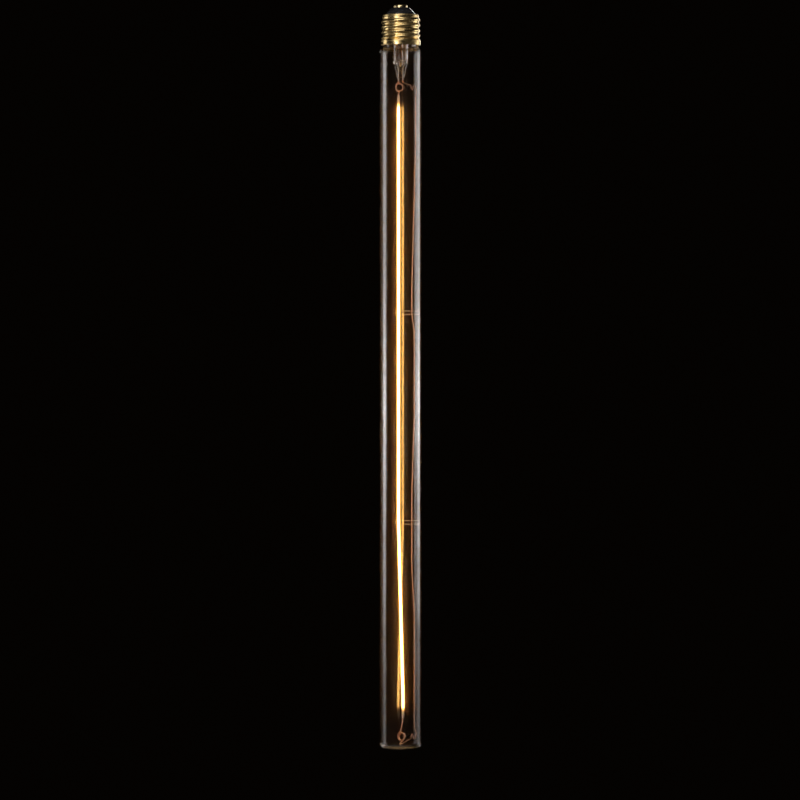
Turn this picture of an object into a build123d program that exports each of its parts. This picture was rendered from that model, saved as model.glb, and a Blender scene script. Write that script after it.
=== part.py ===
from build123d import *
from math import cos, radians, sin, sqrt
import os

# Tubular light bulb with one long lit strip in a clear glass tube, on an Edison screw cap.
# Millimetres. The origin is the middle of the centre contact's flat top, and the bulb hangs below it.

# Overall lengths
lamp_length = 500.0
cap_height = 27.0

# Glass tube
tube_diameter = 28.0
tube_wall = 1.0
neck_clearance = 0.53
neck_insertion = 7.6
shoulder_height = 4.6
end_corner_radius = 3.4
nib_diameter = 3.0
nib_height = 1.8
nib_hole_depth = 1.2
nib_taper = 12.0

# Glass stem
stem_diameter = 10.6
stem_wall = 0.9
flare_depth = 8.5
pinch_drop = 11.0
pinch_shoulder = 4.2
pinch_length = 11.0
pinch_width = 7.8
pinch_tip_width = 5.8
pinch_thickness = 3.6
exhaust_diameter = 3.8
exhaust_bore = 2.2
exhaust_tip_height = 6.0
exhaust_hole = 1.4

# Screw cap, with the sizes of a 27 mm Edison screw
thread_diameter = 26.2
thread_depth = 1.05
thread_pitch = 3.629
thread_root_rise = 0.08
thread_lead_in = 1.0
thread_run_out = 2.1
sheet = 0.3
collar_step = 0.2
collar_height = 4.4
lip_width = 1.83
sheet_bend = 0.7

# Insulator and centre contact
insulator_height = 6.4
insulator_flange = 1.6
insulator_top_diameter = 12.4
insulator_recess_diameter = 14.8
contact_diameter = 9.6
contact_height = 1.9
contact_edge_radius = 0.9
contact_shank_diameter = 2.8
contact_shank_tail = 0.7
cap_clearance = 0.1

# Lead wires
lead_wire = 0.7
lead_spread = 2.8
lead_stem_spread = 6.4
lead_tail = 2.2
lead_bend = 1.0
lead_terminal_rise = 1.4

# Lit strip and its metal ends
strip_width = 2.2
strip_thickness = 1.5
strip_drop = 11.2
strip_rise = 18.1
strip_top_x = -1.4
strip_bottom_x = 1.6
strip_end_run = 8.0
strip_bend = 150.0
tab_width = 1.7
tab_thickness = 0.4
tab_length = 3.4
crimp_diameter = 1.6
crimp_length = 2.4
crimp_hole_depth = 1.9

# Looped springs above and below the strip
spring_wire = 0.7
loop_radius = 2.4
loop_stand = 0.7
loop_pitch = 1.05
spring_bend = 0.45
spring_stub = 0.8
top_loop_drop = 4.2
top_loop_x = -0.8
bottom_loop_rise = 6.9
bottom_loop_x = 0.7
bottom_loop_yaw = 30.0

# Coiled arms between the axis and the return wire
arm_wire = 0.5
arm_coil_radius = 1.8
arm_coil_pitch = 2.8
arm_coil_turns = 2
arm_coil_x = 6.0
arm_bend = 0.4
coil_roundness = 0.96
arm_drop = 6.4

# Return wire, given by its distance from the axis
return_wire_diameter = 0.7
return_top_x = 10.2
return_support_x = 7.6
return_span_x = 9.2
return_bend = 36.0
return_top_run = 30.0
return_kink = 9.0

# Wire supports round the strip
support_wire = 0.4
support_height = 2.4
support_clearance = 0.15
support_wall_clearance = 0.05
support_overhang = 0.8
support_bend = 1.1
upper_support_drop = 140.4
lower_support_rise = 126.0

# Driver in the cap
board_width = 15.0
board_clearance = 0.4
board_thickness = 1.0
board_front = 3.2
board_corner = 0.8
bridge_width = 4.4
bridge_height = 4.0
bridge_thickness = 1.6
bridge_clearance = 0.3
chip_width = 5.0
chip_height = 4.0
chip_thickness = 1.6
chip_x = -4.2
pin_width = 0.5
pin_reach = 0.8
pin_thickness = 0.3
mould_draft = 4.0
capacitor_diameter = 5.0
capacitor_margin = 1.2
capacitor_x = 3.2
resistor_diameter = 2.4
resistor_terminal_rise = 0.8
resistor_x = -5.4
resistor_y = -1.5
resistor_lead_drop = 1.1
resistor_lead_rise = 1.0
component_wire = 0.5
component_bend = 0.5

# Levels along the axis
rim_level = -cap_height
end_level = -lamp_length
floor_level = end_level + tube_wall
neck_level = rim_level + neck_insertion
shoulder_level = rim_level - shoulder_height
lip_level = -insulator_height
flange_level = lip_level - sheet - insulator_flange
shank_end = flange_level + insulator_flange / 2 - contact_shank_tail
collar_level = rim_level + collar_height
pinch_top = rim_level - pinch_drop
pinch_press = pinch_top - pinch_shoulder
pinch_end = pinch_top - pinch_length
lead_end = pinch_end - lead_tail
top_loop_level = lead_end - top_loop_drop
bottom_loop_level = floor_level + bottom_loop_rise
strip_top = top_loop_level - strip_drop
strip_end = bottom_loop_level + strip_rise
upper_support_level = strip_top - upper_support_drop
lower_support_level = strip_end + lower_support_rise
return_top = top_loop_level - arm_drop
return_end = bottom_loop_level + arm_drop
board_bottom = neck_level + stem_wall + board_clearance
board_height = flange_level - board_bottom

# Radii and places shared by pieces that meet
tube_radius = tube_diameter / 2
bore_radius = tube_radius - tube_wall
stem_radius = stem_diameter / 2
root_radius = thread_diameter / 2 - thread_depth + thread_root_rise
shell_bore = root_radius - sheet
collar_radius = thread_diameter / 2 + collar_step
lip_radius = root_radius - lip_width
neck_radius = shell_bore - neck_clearance
spring_radius = spring_wire / 2
loop_reach = loop_radius + loop_stand
board_back = board_front + board_thickness
support_leg_y = strip_thickness / 2 + support_wire / 2 + support_clearance


def envelope_outline(inset):
    """Half outline of the glass tube, drawn inside by the given inset."""
    radius = tube_radius - inset
    throat = neck_radius - inset
    top = rim_level - inset
    bottom = shoulder_level - inset
    middle = (top + bottom) / 2
    Polyline((0, neck_level), (throat, neck_level), (throat, top))
    Bezier((throat, top), (throat, middle), (radius, middle), (radius, bottom))
    FilletPolyline(
        (radius, bottom),
        (radius, end_level + inset),
        (0, end_level + inset),
        radius=end_corner_radius - inset,
    )
    Line((0, end_level + inset), (0, neck_level))


def round_wire(path, diameter):
    """One round wire along a path."""
    with BuildPart() as wire:
        with BuildSketch(Plane(origin=path @ 0, z_dir=path % 0)):
            Circle(diameter / 2)
        sweep(path=path)
    return wire


def bent_path(points, radius):
    """Straight runs through the points, with rounded bends."""
    with BuildLine() as path:
        FilletPolyline(*points, radius=radius)
    return path.wire()


def coil_corners(frame, radius, pitch, quarters, first, hand):
    """Corners of a coil round the frame's Z, one for each quarter turn."""
    corners = []
    for quarter in range(quarters):
        turn = radians(first + hand * 90 * quarter)
        reach = radius * sqrt(2)
        corners.append(frame.from_local_coords((reach * cos(turn), reach * sin(turn), pitch * quarter / 4)))
    return corners


def loop_path(start, start_stub, finish, finish_stub, centre, turns, yaw):
    """Wire from start down to finish, with a loop round a level axis on its way."""
    quarters = 4 * turns + 2
    depth = loop_pitch * (quarters - 1) / 4
    axis = Vector(sin(radians(yaw)), cos(radians(yaw)), 0)
    frame = Plane(origin=Vector(centre) - axis * depth / 2, x_dir=(0, 0, 1), z_dir=axis)
    loop = coil_corners(frame, loop_radius, loop_pitch, quarters, first=-45, hand=-1)
    points = [
        start,
        Vector(start) - Vector(0, 0, start_stub),
        frame.from_local_coords((loop_reach, 0, 0)),
        *loop,
        frame.from_local_coords((-loop_reach, 0, depth)),
        Vector(finish) + Vector(0, 0, finish_stub),
        finish,
    ]
    loop_bends = [loop_radius * coil_roundness] * quarters
    return bent_path(points, [spring_bend, spring_bend, *loop_bends, spring_bend, spring_bend])


def arm_path(start, start_run, finish, finish_run, level, first, hand):
    """Wire with a small coil along X, from the axis out to the return wire."""
    quarters = 4 * arm_coil_turns
    frame = Plane(origin=(arm_coil_x, 0, level), x_dir=(0, 0, 1), z_dir=(1, 0, 0))
    coil = coil_corners(frame, arm_coil_radius, arm_coil_pitch, quarters, first, hand)
    points = [
        start,
        Vector(start) + Vector(start_run),
        *coil,
        Vector(finish) + Vector(finish_run),
        finish,
    ]
    coil_bends = [arm_coil_radius * coil_roundness] * quarters
    return bent_path(points, [arm_bend, *coil_bends, arm_bend])


def support_path(level):
    """Hairpin round the strip and out to the glass wall, with both ends on the return wire."""
    upper = level + support_height / 2
    lower = level - support_height / 2
    wall_x = sqrt((bore_radius - support_wire / 2) ** 2 - support_leg_y**2) - support_wall_clearance
    left_x = strip_top_x - strip_width / 2 - support_wire / 2 - support_overhang
    return bent_path(
        [
            (return_support_x - return_wire_diameter / 2, support_leg_y, upper),
            (left_x, support_leg_y, upper),
            (left_x, -support_leg_y, lower),
            (wall_x, -support_leg_y, lower),
            (wall_x, support_leg_y, upper),
            (return_support_x + return_wire_diameter / 2, support_leg_y, upper),
        ],
        support_bend,
    )


def lead_path(side):
    """Lead wire from the driver board down through the stem and the pinch."""
    wide = side * lead_stem_spread / 2
    near = side * lead_spread / 2
    terminal = board_bottom + lead_terminal_rise
    return bent_path(
        [
            (wide, board_front, terminal),
            (wide, 0, terminal),
            (wide, 0, pinch_top + lead_bend * 2),
            (near, 0, pinch_press),
            (near, 0, lead_end),
        ],
        lead_bend,
    )


def thread_ridge():
    """Rolled ridge wound on the cap, round at crest and root, that runs out at the top and into the collar."""
    start = collar_level - thread_pitch / 2
    winding = Helix(thread_pitch, lip_level - start, root_radius, center=(0, 0, start))
    round_radius = (thread_pitch**2 / 4 + thread_depth**2) / (4 * thread_depth)
    crest = thread_depth - thread_root_rise
    flank = thread_depth / 2 - thread_root_rise
    foot = thread_pitch / 2 - sqrt(2 * round_radius * thread_root_rise - thread_root_rise**2)
    with BuildPart() as ridge:
        with BuildSketch(Plane(origin=winding @ 0, x_dir=(1, 0, 0), z_dir=winding % 0)):
            with BuildLine():
                top = ThreePointArc((flank, -thread_pitch / 4), (crest, 0), (flank, thread_pitch / 4))
                after = TangentArc(top @ 1, (0, foot), tangent=top % 1)
                before = TangentArc(top @ 0, (0, -foot), tangent=-(top % 0))
                Polyline(after @ 1, (-sheet / 2, foot), (-sheet / 2, -foot), before @ 1)
            make_face()
        sweep(path=winding, is_frenet=True)
        with BuildSketch(Plane.XZ):
            with BuildLine():
                Polyline(
                    (0, lip_level - thread_lead_in),
                    (root_radius - sheet / 2, lip_level - thread_lead_in),
                    (collar_radius - sheet / 2, lip_level - thread_lead_in - thread_run_out),
                    (collar_radius - sheet / 2, collar_level - thread_depth),
                    (root_radius - sheet / 2, collar_level),
                    (0, collar_level),
                    close=True,
                )
            make_face()
        revolve(axis=Axis.Z, mode=Mode.INTERSECT)
    return ridge.part


def component_body(plane, width, height, thickness, pins):
    """Moulded component with a row of flat pins at its top and bottom edges."""
    with BuildPart() as body:
        with BuildSketch(plane):
            Rectangle(width, height)
        extrude(amount=thickness, taper=mould_draft)
        with BuildSketch(plane):
            with GridLocations(width / pins, height, pins, 2):
                Rectangle(pin_width, pin_reach * 2)
        extrude(amount=pin_thickness)
    return body


# Lead wires
live_path = lead_path(-1)
neutral_path = lead_path(1)
live_lead = round_wire(live_path, lead_wire)
neutral_lead = round_wire(neutral_path, lead_wire)

# Glass tube, one blown piece with the nib that holds the lower anchor wire
with BuildPart() as glass_tube:
    with BuildSketch(Plane.XZ):
        with BuildLine():
            envelope_outline(0)
        make_face()
    revolve(axis=Axis.Z)
    with BuildSketch(Plane.XZ):
        with BuildLine():
            envelope_outline(tube_wall)
        make_face()
    revolve(axis=Axis.Z, mode=Mode.SUBTRACT)
    with BuildSketch(Plane.XY.offset(floor_level)):
        Circle(nib_diameter / 2)
    extrude(amount=nib_height, taper=nib_taper)
    with BuildSketch(Plane.XY.offset(floor_level + nib_height)):
        Circle(spring_radius)
    extrude(amount=-nib_hole_depth, mode=Mode.SUBTRACT)

# Glass stem, with the flare, the pinch round both leads and the sealed exhaust tube
with BuildPart() as glass_stem:
    with BuildSketch(Plane.XZ):
        with BuildLine():
            FilletPolyline(
                (neck_radius, neck_level + stem_wall / 2),
                (neck_radius - tube_wall - stem_wall, neck_level + stem_wall / 2),
                (stem_radius - stem_wall / 2, neck_level - flare_depth),
                (stem_radius - stem_wall / 2, pinch_top),
                radius=stem_wall,
            )
        trace(line_width=stem_wall)
    revolve(axis=Axis.Z)
    with BuildSketch(Plane.XY.offset(pinch_top)):
        Circle(stem_radius)
    with BuildSketch(Plane.XY.offset(pinch_press)):
        Ellipse(pinch_width / 2, pinch_thickness / 2)
    loft()
    with BuildSketch(Plane.XY.offset(pinch_press)):
        Ellipse(pinch_width / 2, pinch_thickness / 2)
    with BuildSketch(Plane.XY.offset(pinch_end)):
        Ellipse(pinch_tip_width / 2, pinch_thickness / 2)
    loft()
    with BuildSketch(Plane.XZ):
        with BuildLine():
            tip_level = neck_level + exhaust_tip_height
            Polyline(
                (0, pinch_top - exhaust_bore),
                (exhaust_diameter / 2, pinch_top - exhaust_bore),
                (exhaust_diameter / 2, tip_level - exhaust_diameter),
            )
            Spline(
                (exhaust_diameter / 2, tip_level - exhaust_diameter),
                (0, tip_level),
                tangents=((0, 1), (-1, 0)),
            )
            Line((0, tip_level), (0, pinch_top - exhaust_bore))
        make_face()
    revolve(axis=Axis.Z)
    with BuildSketch(Plane.XY.offset(pinch_top - exhaust_bore)):
        Circle(exhaust_bore / 2)
    extrude(amount=tip_level - exhaust_diameter - pinch_top + exhaust_bore, mode=Mode.SUBTRACT)
    with BuildSketch(Plane.XZ.offset(-stem_radius)):
        with Locations((0, pinch_top - exhaust_bore / 2)):
            Circle(exhaust_hole / 2)
    extrude(amount=stem_diameter / 2, mode=Mode.SUBTRACT)
    add(live_lead.part, mode=Mode.SUBTRACT)
    add(neutral_lead.part, mode=Mode.SUBTRACT)

# Lit strip, straight to the lower support and then slanting to the lower spring
with BuildLine() as strip_line:
    FilletPolyline(
        (strip_top_x, 0, strip_top),
        (strip_top_x, 0, lower_support_level),
        (strip_bottom_x, 0, strip_end + strip_end_run),
        (strip_bottom_x, 0, strip_end),
        radius=strip_bend,
    )
with BuildPart() as filament:
    with BuildSketch(Plane.XY.offset(strip_top).shift_origin((strip_top_x, 0, strip_top))):
        Ellipse(strip_width / 2, strip_thickness / 2)
    sweep(path=strip_line.wire())


def strip_tab(x, level, direction):
    """Metal end of the strip, a flat tab with a crimp barrel for the spring wire."""
    barrel = level + direction * tab_length
    with BuildPart() as tab:
        with BuildSketch(Plane((x, 0, level))):
            Rectangle(tab_width, tab_thickness)
        extrude(amount=direction * (tab_length + crimp_length / 2))
        with BuildSketch(Plane((x, 0, barrel))):
            Circle(crimp_diameter / 2)
        extrude(amount=direction * crimp_length)
        with BuildSketch(Plane((x, 0, barrel + direction * crimp_length))):
            Circle(spring_radius)
        extrude(amount=-direction * crimp_hole_depth, mode=Mode.SUBTRACT)
    return tab


filament_tab_top = strip_tab(strip_top_x, strip_top, 1)
filament_tab_bottom = strip_tab(strip_bottom_x, strip_end, -1)

# Looped springs, each with its outer end on the glass side and its inner end in a crimp
crimp_seat = tab_length + crimp_length - crimp_hole_depth
crimp_run = crimp_hole_depth + spring_bend
top_spring = round_wire(
    loop_path(
        (-lead_spread / 2, 0, lead_end),
        spring_stub,
        (strip_top_x, 0, strip_top + crimp_seat),
        crimp_run,
        (top_loop_x, 0, top_loop_level),
        turns=1,
        yaw=0,
    ),
    spring_wire,
)
anchor_level = floor_level + nib_height - nib_hole_depth
bottom_spring = round_wire(
    loop_path(
        (strip_bottom_x, 0, strip_end - crimp_seat),
        crimp_run,
        (0, 0, anchor_level),
        nib_hole_depth + spring_stub + spring_bend,
        (bottom_loop_x, 0, bottom_loop_level),
        turns=2,
        yaw=bottom_loop_yaw,
    ),
    spring_wire,
)

# Coiled arms and the return wire between them
upper_arm = round_wire(
    arm_path(
        (lead_spread / 2, 0, lead_end),
        (0, 0, -spring_stub),
        (return_top_x, support_leg_y, return_top),
        (0, 0, spring_stub),
        top_loop_level,
        first=-45,
        hand=1,
    ),
    arm_wire,
)
weld_level = floor_level + nib_height + spring_stub / 2
lower_arm = round_wire(
    arm_path(
        (spring_radius, 0, weld_level),
        (spring_stub, 0, 0),
        (return_span_x, support_leg_y, return_end),
        (0, 0, -spring_stub),
        bottom_loop_level,
        first=225,
        hand=-1,
    ),
    arm_wire,
)
return_wire = round_wire(
    bent_path(
        [
            (return_top_x, support_leg_y, return_top),
            (return_top_x, support_leg_y, return_top - return_top_run),
            (return_support_x, support_leg_y, upper_support_level + return_kink * 2),
            (return_support_x, support_leg_y, upper_support_level - support_height),
            (return_span_x, support_leg_y, upper_support_level - support_height - return_kink),
            (return_span_x, support_leg_y, (upper_support_level + lower_support_level) / 2),
            (return_support_x, support_leg_y, lower_support_level + return_kink * 2),
            (return_support_x, support_leg_y, lower_support_level - return_top_run),
            (return_span_x, support_leg_y, lower_support_level - return_top_run * 2),
            (return_span_x, support_leg_y, return_end),
        ],
        return_bend,
    ),
    return_wire_diameter,
)

# Wire supports
upper_support = round_wire(support_path(upper_support_level), support_wire)
lower_support = round_wire(support_path(lower_support_level), support_wire)

# Screw cap of thin brass with its rolled thread
with BuildPart() as screw_shell:
    with BuildSketch(Plane.XZ):
        with BuildLine():
            FilletPolyline(
                (lip_radius, lip_level - sheet / 2),
                (root_radius - sheet / 2, lip_level - sheet / 2),
                (root_radius - sheet / 2, collar_level),
                (collar_radius - sheet / 2, collar_level - thread_depth),
                (collar_radius - sheet / 2, rim_level),
                radius=sheet_bend,
            )
        trace(line_width=sheet)
    revolve(axis=Axis.Z)
    add(thread_ridge())

# Black insulator, crimped under the cap's lip
with BuildPart() as cap_insulator:
    with BuildSketch(Plane.XZ):
        with BuildLine():
            Polyline(
                (contact_shank_diameter / 2, flange_level + insulator_flange / 2),
                (contact_shank_diameter / 2, -contact_height),
                (insulator_top_diameter / 2, -contact_height),
                (lip_radius - cap_clearance, lip_level + sheet),
                (lip_radius - cap_clearance, lip_level - sheet),
                (shell_bore - sheet_bend, lip_level - sheet),
                (shell_bore - cap_clearance, lip_level - sheet - sheet_bend),
                (shell_bore - cap_clearance, flange_level),
                (insulator_recess_diameter / 2, flange_level),
                close=True,
            )
        make_face()
    revolve(axis=Axis.Z)

# Centre contact, a brass rivet
with BuildPart() as centre_contact:
    with BuildSketch(Plane.XY):
        Circle(contact_diameter / 2)
    extrude(amount=-contact_height)
    fillet(centre_contact.edges().sort_by(Axis.Z)[-1], contact_edge_radius)
    with BuildSketch(Plane.XY.offset(-contact_height)):
        Circle(contact_shank_diameter / 2)
    extrude(amount=shank_end + contact_height)

# Cement ring between the glass neck and the cap
with BuildPart() as cap_cement:
    with BuildSketch(Plane.XY.offset(rim_level)):
        Circle(collar_radius - sheet)
        Circle(neck_radius, mode=Mode.SUBTRACT)
    extrude(amount=collar_height - thread_depth * 2)

# Driver board, standing behind the exhaust tube under the insulator
board_level = (flange_level + board_bottom) / 2
with BuildPart() as driver_board:
    with BuildSketch(Plane.XZ.offset(-board_front)):
        with Locations((0, board_level)):
            RectangleRounded(board_width, board_height, board_corner)
    extrude(amount=-board_thickness)

bridge_x = exhaust_diameter / 2 + bridge_clearance + bridge_width / 2
bridge_rectifier = component_body(
    Plane(origin=(bridge_x, board_front, board_level), x_dir=(1, 0, 0), z_dir=(0, -1, 0)),
    bridge_width,
    bridge_height,
    bridge_thickness,
    pins=2,
)
driver_chip = component_body(
    Plane(origin=(chip_x, board_back, board_level), x_dir=(-1, 0, 0), z_dir=(0, 1, 0)),
    chip_width,
    chip_height,
    chip_thickness,
    pins=4,
)

# Smoothing capacitor, an upright can behind the board
with BuildPart() as smoothing_capacitor:
    capacitor_y = board_back + capacitor_diameter / 2
    with BuildSketch(Plane((capacitor_x, capacitor_y, board_bottom + capacitor_margin))):
        Circle(capacitor_diameter / 2)
    extrude(amount=board_height - capacitor_margin * 2)
    fillet(smoothing_capacitor.edges().filter_by(GeomType.CIRCLE), component_bend)

# Fuse resistor with its two leads, from the contact's shank to the board
with BuildPart() as fuse_resistor:
    contact_lead_level = shank_end - resistor_lead_drop
    board_lead_level = board_bottom + resistor_terminal_rise
    body_top = contact_lead_level - resistor_lead_rise
    body_end = board_lead_level + resistor_lead_rise
    with BuildSketch(Plane((resistor_x, resistor_y, body_end))):
        Circle(resistor_diameter / 2)
    extrude(amount=body_top - body_end)
    fillet(fuse_resistor.edges().filter_by(GeomType.CIRCLE), component_bend)
    contact_lead = bent_path(
        [
            (-component_wire, 0, shank_end),
            (-component_wire, 0, contact_lead_level),
            (resistor_x, resistor_y, contact_lead_level),
            (resistor_x, resistor_y, body_top - component_bend),
        ],
        component_bend,
    )
    board_lead = bent_path(
        [
            (resistor_x, resistor_y, body_end + component_bend),
            (resistor_x, resistor_y, board_lead_level),
            (resistor_x, board_front, board_lead_level),
        ],
        component_bend,
    )
    add(round_wire(contact_lead, component_wire).part)
    add(round_wire(board_lead, component_wire).part)

# Wire from the board to the inside of the screw cap
shell_wire_level = flange_level - component_wire
shell_wire_x = board_width / 2 - board_corner
shell_wire = round_wire(
    bent_path(
        [
            (shell_wire_x, board_front, shell_wire_level),
            (shell_wire_x, 0, shell_wire_level),
            (shell_bore, 0, shell_wire_level),
        ],
        lead_bend,
    ),
    component_wire,
)

# Write each piece to its own file
pieces = {
    "glass_tube": glass_tube,
    "glass_stem": glass_stem,
    "live_lead": live_lead,
    "neutral_lead": neutral_lead,
    "top_spring": top_spring,
    "bottom_spring": bottom_spring,
    "upper_arm": upper_arm,
    "lower_arm": lower_arm,
    "return_wire": return_wire,
    "upper_support": upper_support,
    "lower_support": lower_support,
    "filament": filament,
    "filament_tab_top": filament_tab_top,
    "filament_tab_bottom": filament_tab_bottom,
    "screw_shell": screw_shell,
    "cap_insulator": cap_insulator,
    "centre_contact": centre_contact,
    "cap_cement": cap_cement,
    "driver_board": driver_board,
    "bridge_rectifier": bridge_rectifier,
    "driver_chip": driver_chip,
    "smoothing_capacitor": smoothing_capacitor,
    "fuse_resistor": fuse_resistor,
    "shell_wire": shell_wire,
}
os.makedirs("parts", exist_ok=True)
for label, piece in pieces.items():
    piece.part.label = label
    export_step(piece.part, f"parts/{label}.step")
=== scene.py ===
"""Looks of a tubular light bulb: clear glass on a brass screw cap, with one long lit strip inside.

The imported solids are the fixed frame. Each class holds one sub-assembly, with its sizes as fields
and methods that build its meshes and dress them. Lengths are in metres, and MM turns millimetres
into them.
"""

import logging
from dataclasses import dataclass
from enum import Enum
from math import cos, pi, radians, sin, sqrt, tan
from typing import Any, Sequence

import bmesh
import bpy
from mathutils import Matrix, Vector


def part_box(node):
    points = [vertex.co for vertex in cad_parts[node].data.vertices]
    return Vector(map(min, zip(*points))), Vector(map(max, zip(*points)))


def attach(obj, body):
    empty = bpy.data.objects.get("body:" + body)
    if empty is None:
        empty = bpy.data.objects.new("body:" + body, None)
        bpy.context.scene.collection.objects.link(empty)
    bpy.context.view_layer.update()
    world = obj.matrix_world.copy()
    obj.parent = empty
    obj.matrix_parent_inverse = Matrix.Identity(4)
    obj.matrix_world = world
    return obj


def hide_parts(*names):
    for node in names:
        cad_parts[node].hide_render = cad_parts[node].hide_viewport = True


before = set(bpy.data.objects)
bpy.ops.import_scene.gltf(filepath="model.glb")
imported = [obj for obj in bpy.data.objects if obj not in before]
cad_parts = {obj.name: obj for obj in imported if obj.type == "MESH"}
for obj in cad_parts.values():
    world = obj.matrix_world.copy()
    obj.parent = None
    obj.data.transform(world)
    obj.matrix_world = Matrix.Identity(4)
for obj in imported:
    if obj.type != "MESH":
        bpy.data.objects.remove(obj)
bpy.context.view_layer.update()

MM = 0.001
NECK_RADIUS = 11.3 * MM
PINCH_DROP = 11.0 * MM
PRESS_DROP = 4.2 * MM
STRIP_TOP_X = -1.4 * MM
STRIP_BOTTOM_X = 1.6 * MM
CHIP_PITCH = 1.1 * MM
ROOT_BODY = "root"
UP = Vector((0.0, 0.0, 1.0))
NOISE_ROUGHNESS = 0.55
NOISE_LOW = 0.3
NOISE_HIGH = 0.7
FORMED_SHARP_ANGLE = radians(55)
TURNED_SHARP_ANGLE = radians(50)
Colour = tuple[float, float, float]
Ring = tuple[float, float, float]
Triple = tuple[float, float, float]
Socket = bpy.types.NodeSocket
log = logging.getLogger("tubular_bulb")


class Slot(Enum):
    """The material slots of the bulb's record."""

    GLASS = "clear_glass"
    LEAD = "lead_metal"
    COPPER = "copper_wire"
    SUPPORT = "support_metal"
    STRIP = "lit_strip"
    TAB = "tab_metal"
    CAP = "cap_brass"
    INSULATOR = "insulator_black"
    CONTACT = "contact_brass"
    CEMENT = "cement"
    BOARD = "board"
    COMPONENT = "component_black"
    CAPACITOR = "capacitor_sleeve"
    RESISTOR = "resistor_ceramic"


class Side(Enum):
    """Sides of the bulb as the camera sees it, with the sign of their X."""

    LEFT = -1
    RIGHT = 1


class Hand(Enum):
    """The two ways that a wire can be wound."""

    LEFT = -1
    RIGHT = 1


@dataclass(frozen=True)
class Levels:
    """Heights of the bulb's landmarks."""

    lip: float
    rim: float
    neck: float
    end: float
    exhaust_tip: float
    pinch_end: float
    lead_top: float
    lead_end: float
    strip_top: float
    strip_end: float
    return_top: float
    return_end: float
    upper_support: float
    lower_support: float

    @classmethod
    def read(cls) -> "Levels":
        """Reads the heights from the solids of the frame."""
        return cls(
            lip=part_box("screw_shell")[1].z,
            rim=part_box("screw_shell")[0].z,
            neck=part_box("glass_tube")[1].z,
            end=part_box("glass_tube")[0].z,
            exhaust_tip=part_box("glass_stem")[1].z,
            pinch_end=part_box("glass_stem")[0].z,
            lead_top=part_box("live_lead")[1].z,
            lead_end=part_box("live_lead")[0].z,
            strip_top=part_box("filament")[1].z,
            strip_end=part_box("filament")[0].z,
            return_top=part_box("return_wire")[1].z,
            return_end=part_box("return_wire")[0].z,
            upper_support=sum(corner.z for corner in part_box("upper_support")) / 2,
            lower_support=sum(corner.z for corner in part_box("lower_support")) / 2,
        )


class NodeTree:
    """A node tree that is built in code."""

    def __init__(self, tree: bpy.types.NodeTree) -> None:
        """Takes the tree to build in.

        Args:
            tree: the tree.
        """
        self.tree = tree

    def node(self, kind: str, inputs: dict[str, Any] | None = None, **settings: Any) -> bpy.types.Node:
        """Adds a node.

        Args:
            kind: the node's type.
            inputs: values or sockets for its inputs, by name.
            settings: the node's own properties.

        Returns:
            The new node.
        """
        made = self.tree.nodes.new(kind)
        for key, value in settings.items():
            setattr(made, key, value)
        for key, value in (inputs or {}).items():
            self.feed(made.inputs[key], value)
        return made

    def feed(self, socket: Socket, value: Any) -> None:
        """Links a socket into an input, or sets the input's value."""
        if isinstance(value, bpy.types.NodeSocket):
            self.tree.links.new(value, socket)
        elif isinstance(value, tuple) and socket.type == "RGBA":
            socket.default_value = (*value, 1.0)
        else:
            socket.default_value = value

    def maths(self, operation: str, *values: Any) -> Socket:
        """One arithmetic step on values or sockets."""
        made = self.node("ShaderNodeMath", operation=operation)
        for socket, value in zip(made.inputs, values):
            self.feed(socket, value)
        return made.outputs["Value"]

    def ramp(self, value: Socket, low: Any, high: Any, start: Any = 0.0, finish: Any = 1.0) -> Socket:
        """Maps a value from one range to another, with smooth ends.

        Args:
            value: the value to map.
            low: value that becomes start.
            high: value that becomes finish.
            start: result at low.
            finish: result at high.

        Returns:
            The mapped socket.
        """
        inputs = {"Value": value, "From Min": low, "From Max": high, "To Min": start, "To Max": finish}
        made = self.node("ShaderNodeMapRange", inputs, interpolation_type="SMOOTHSTEP")
        return made.outputs["Result"]


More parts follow.
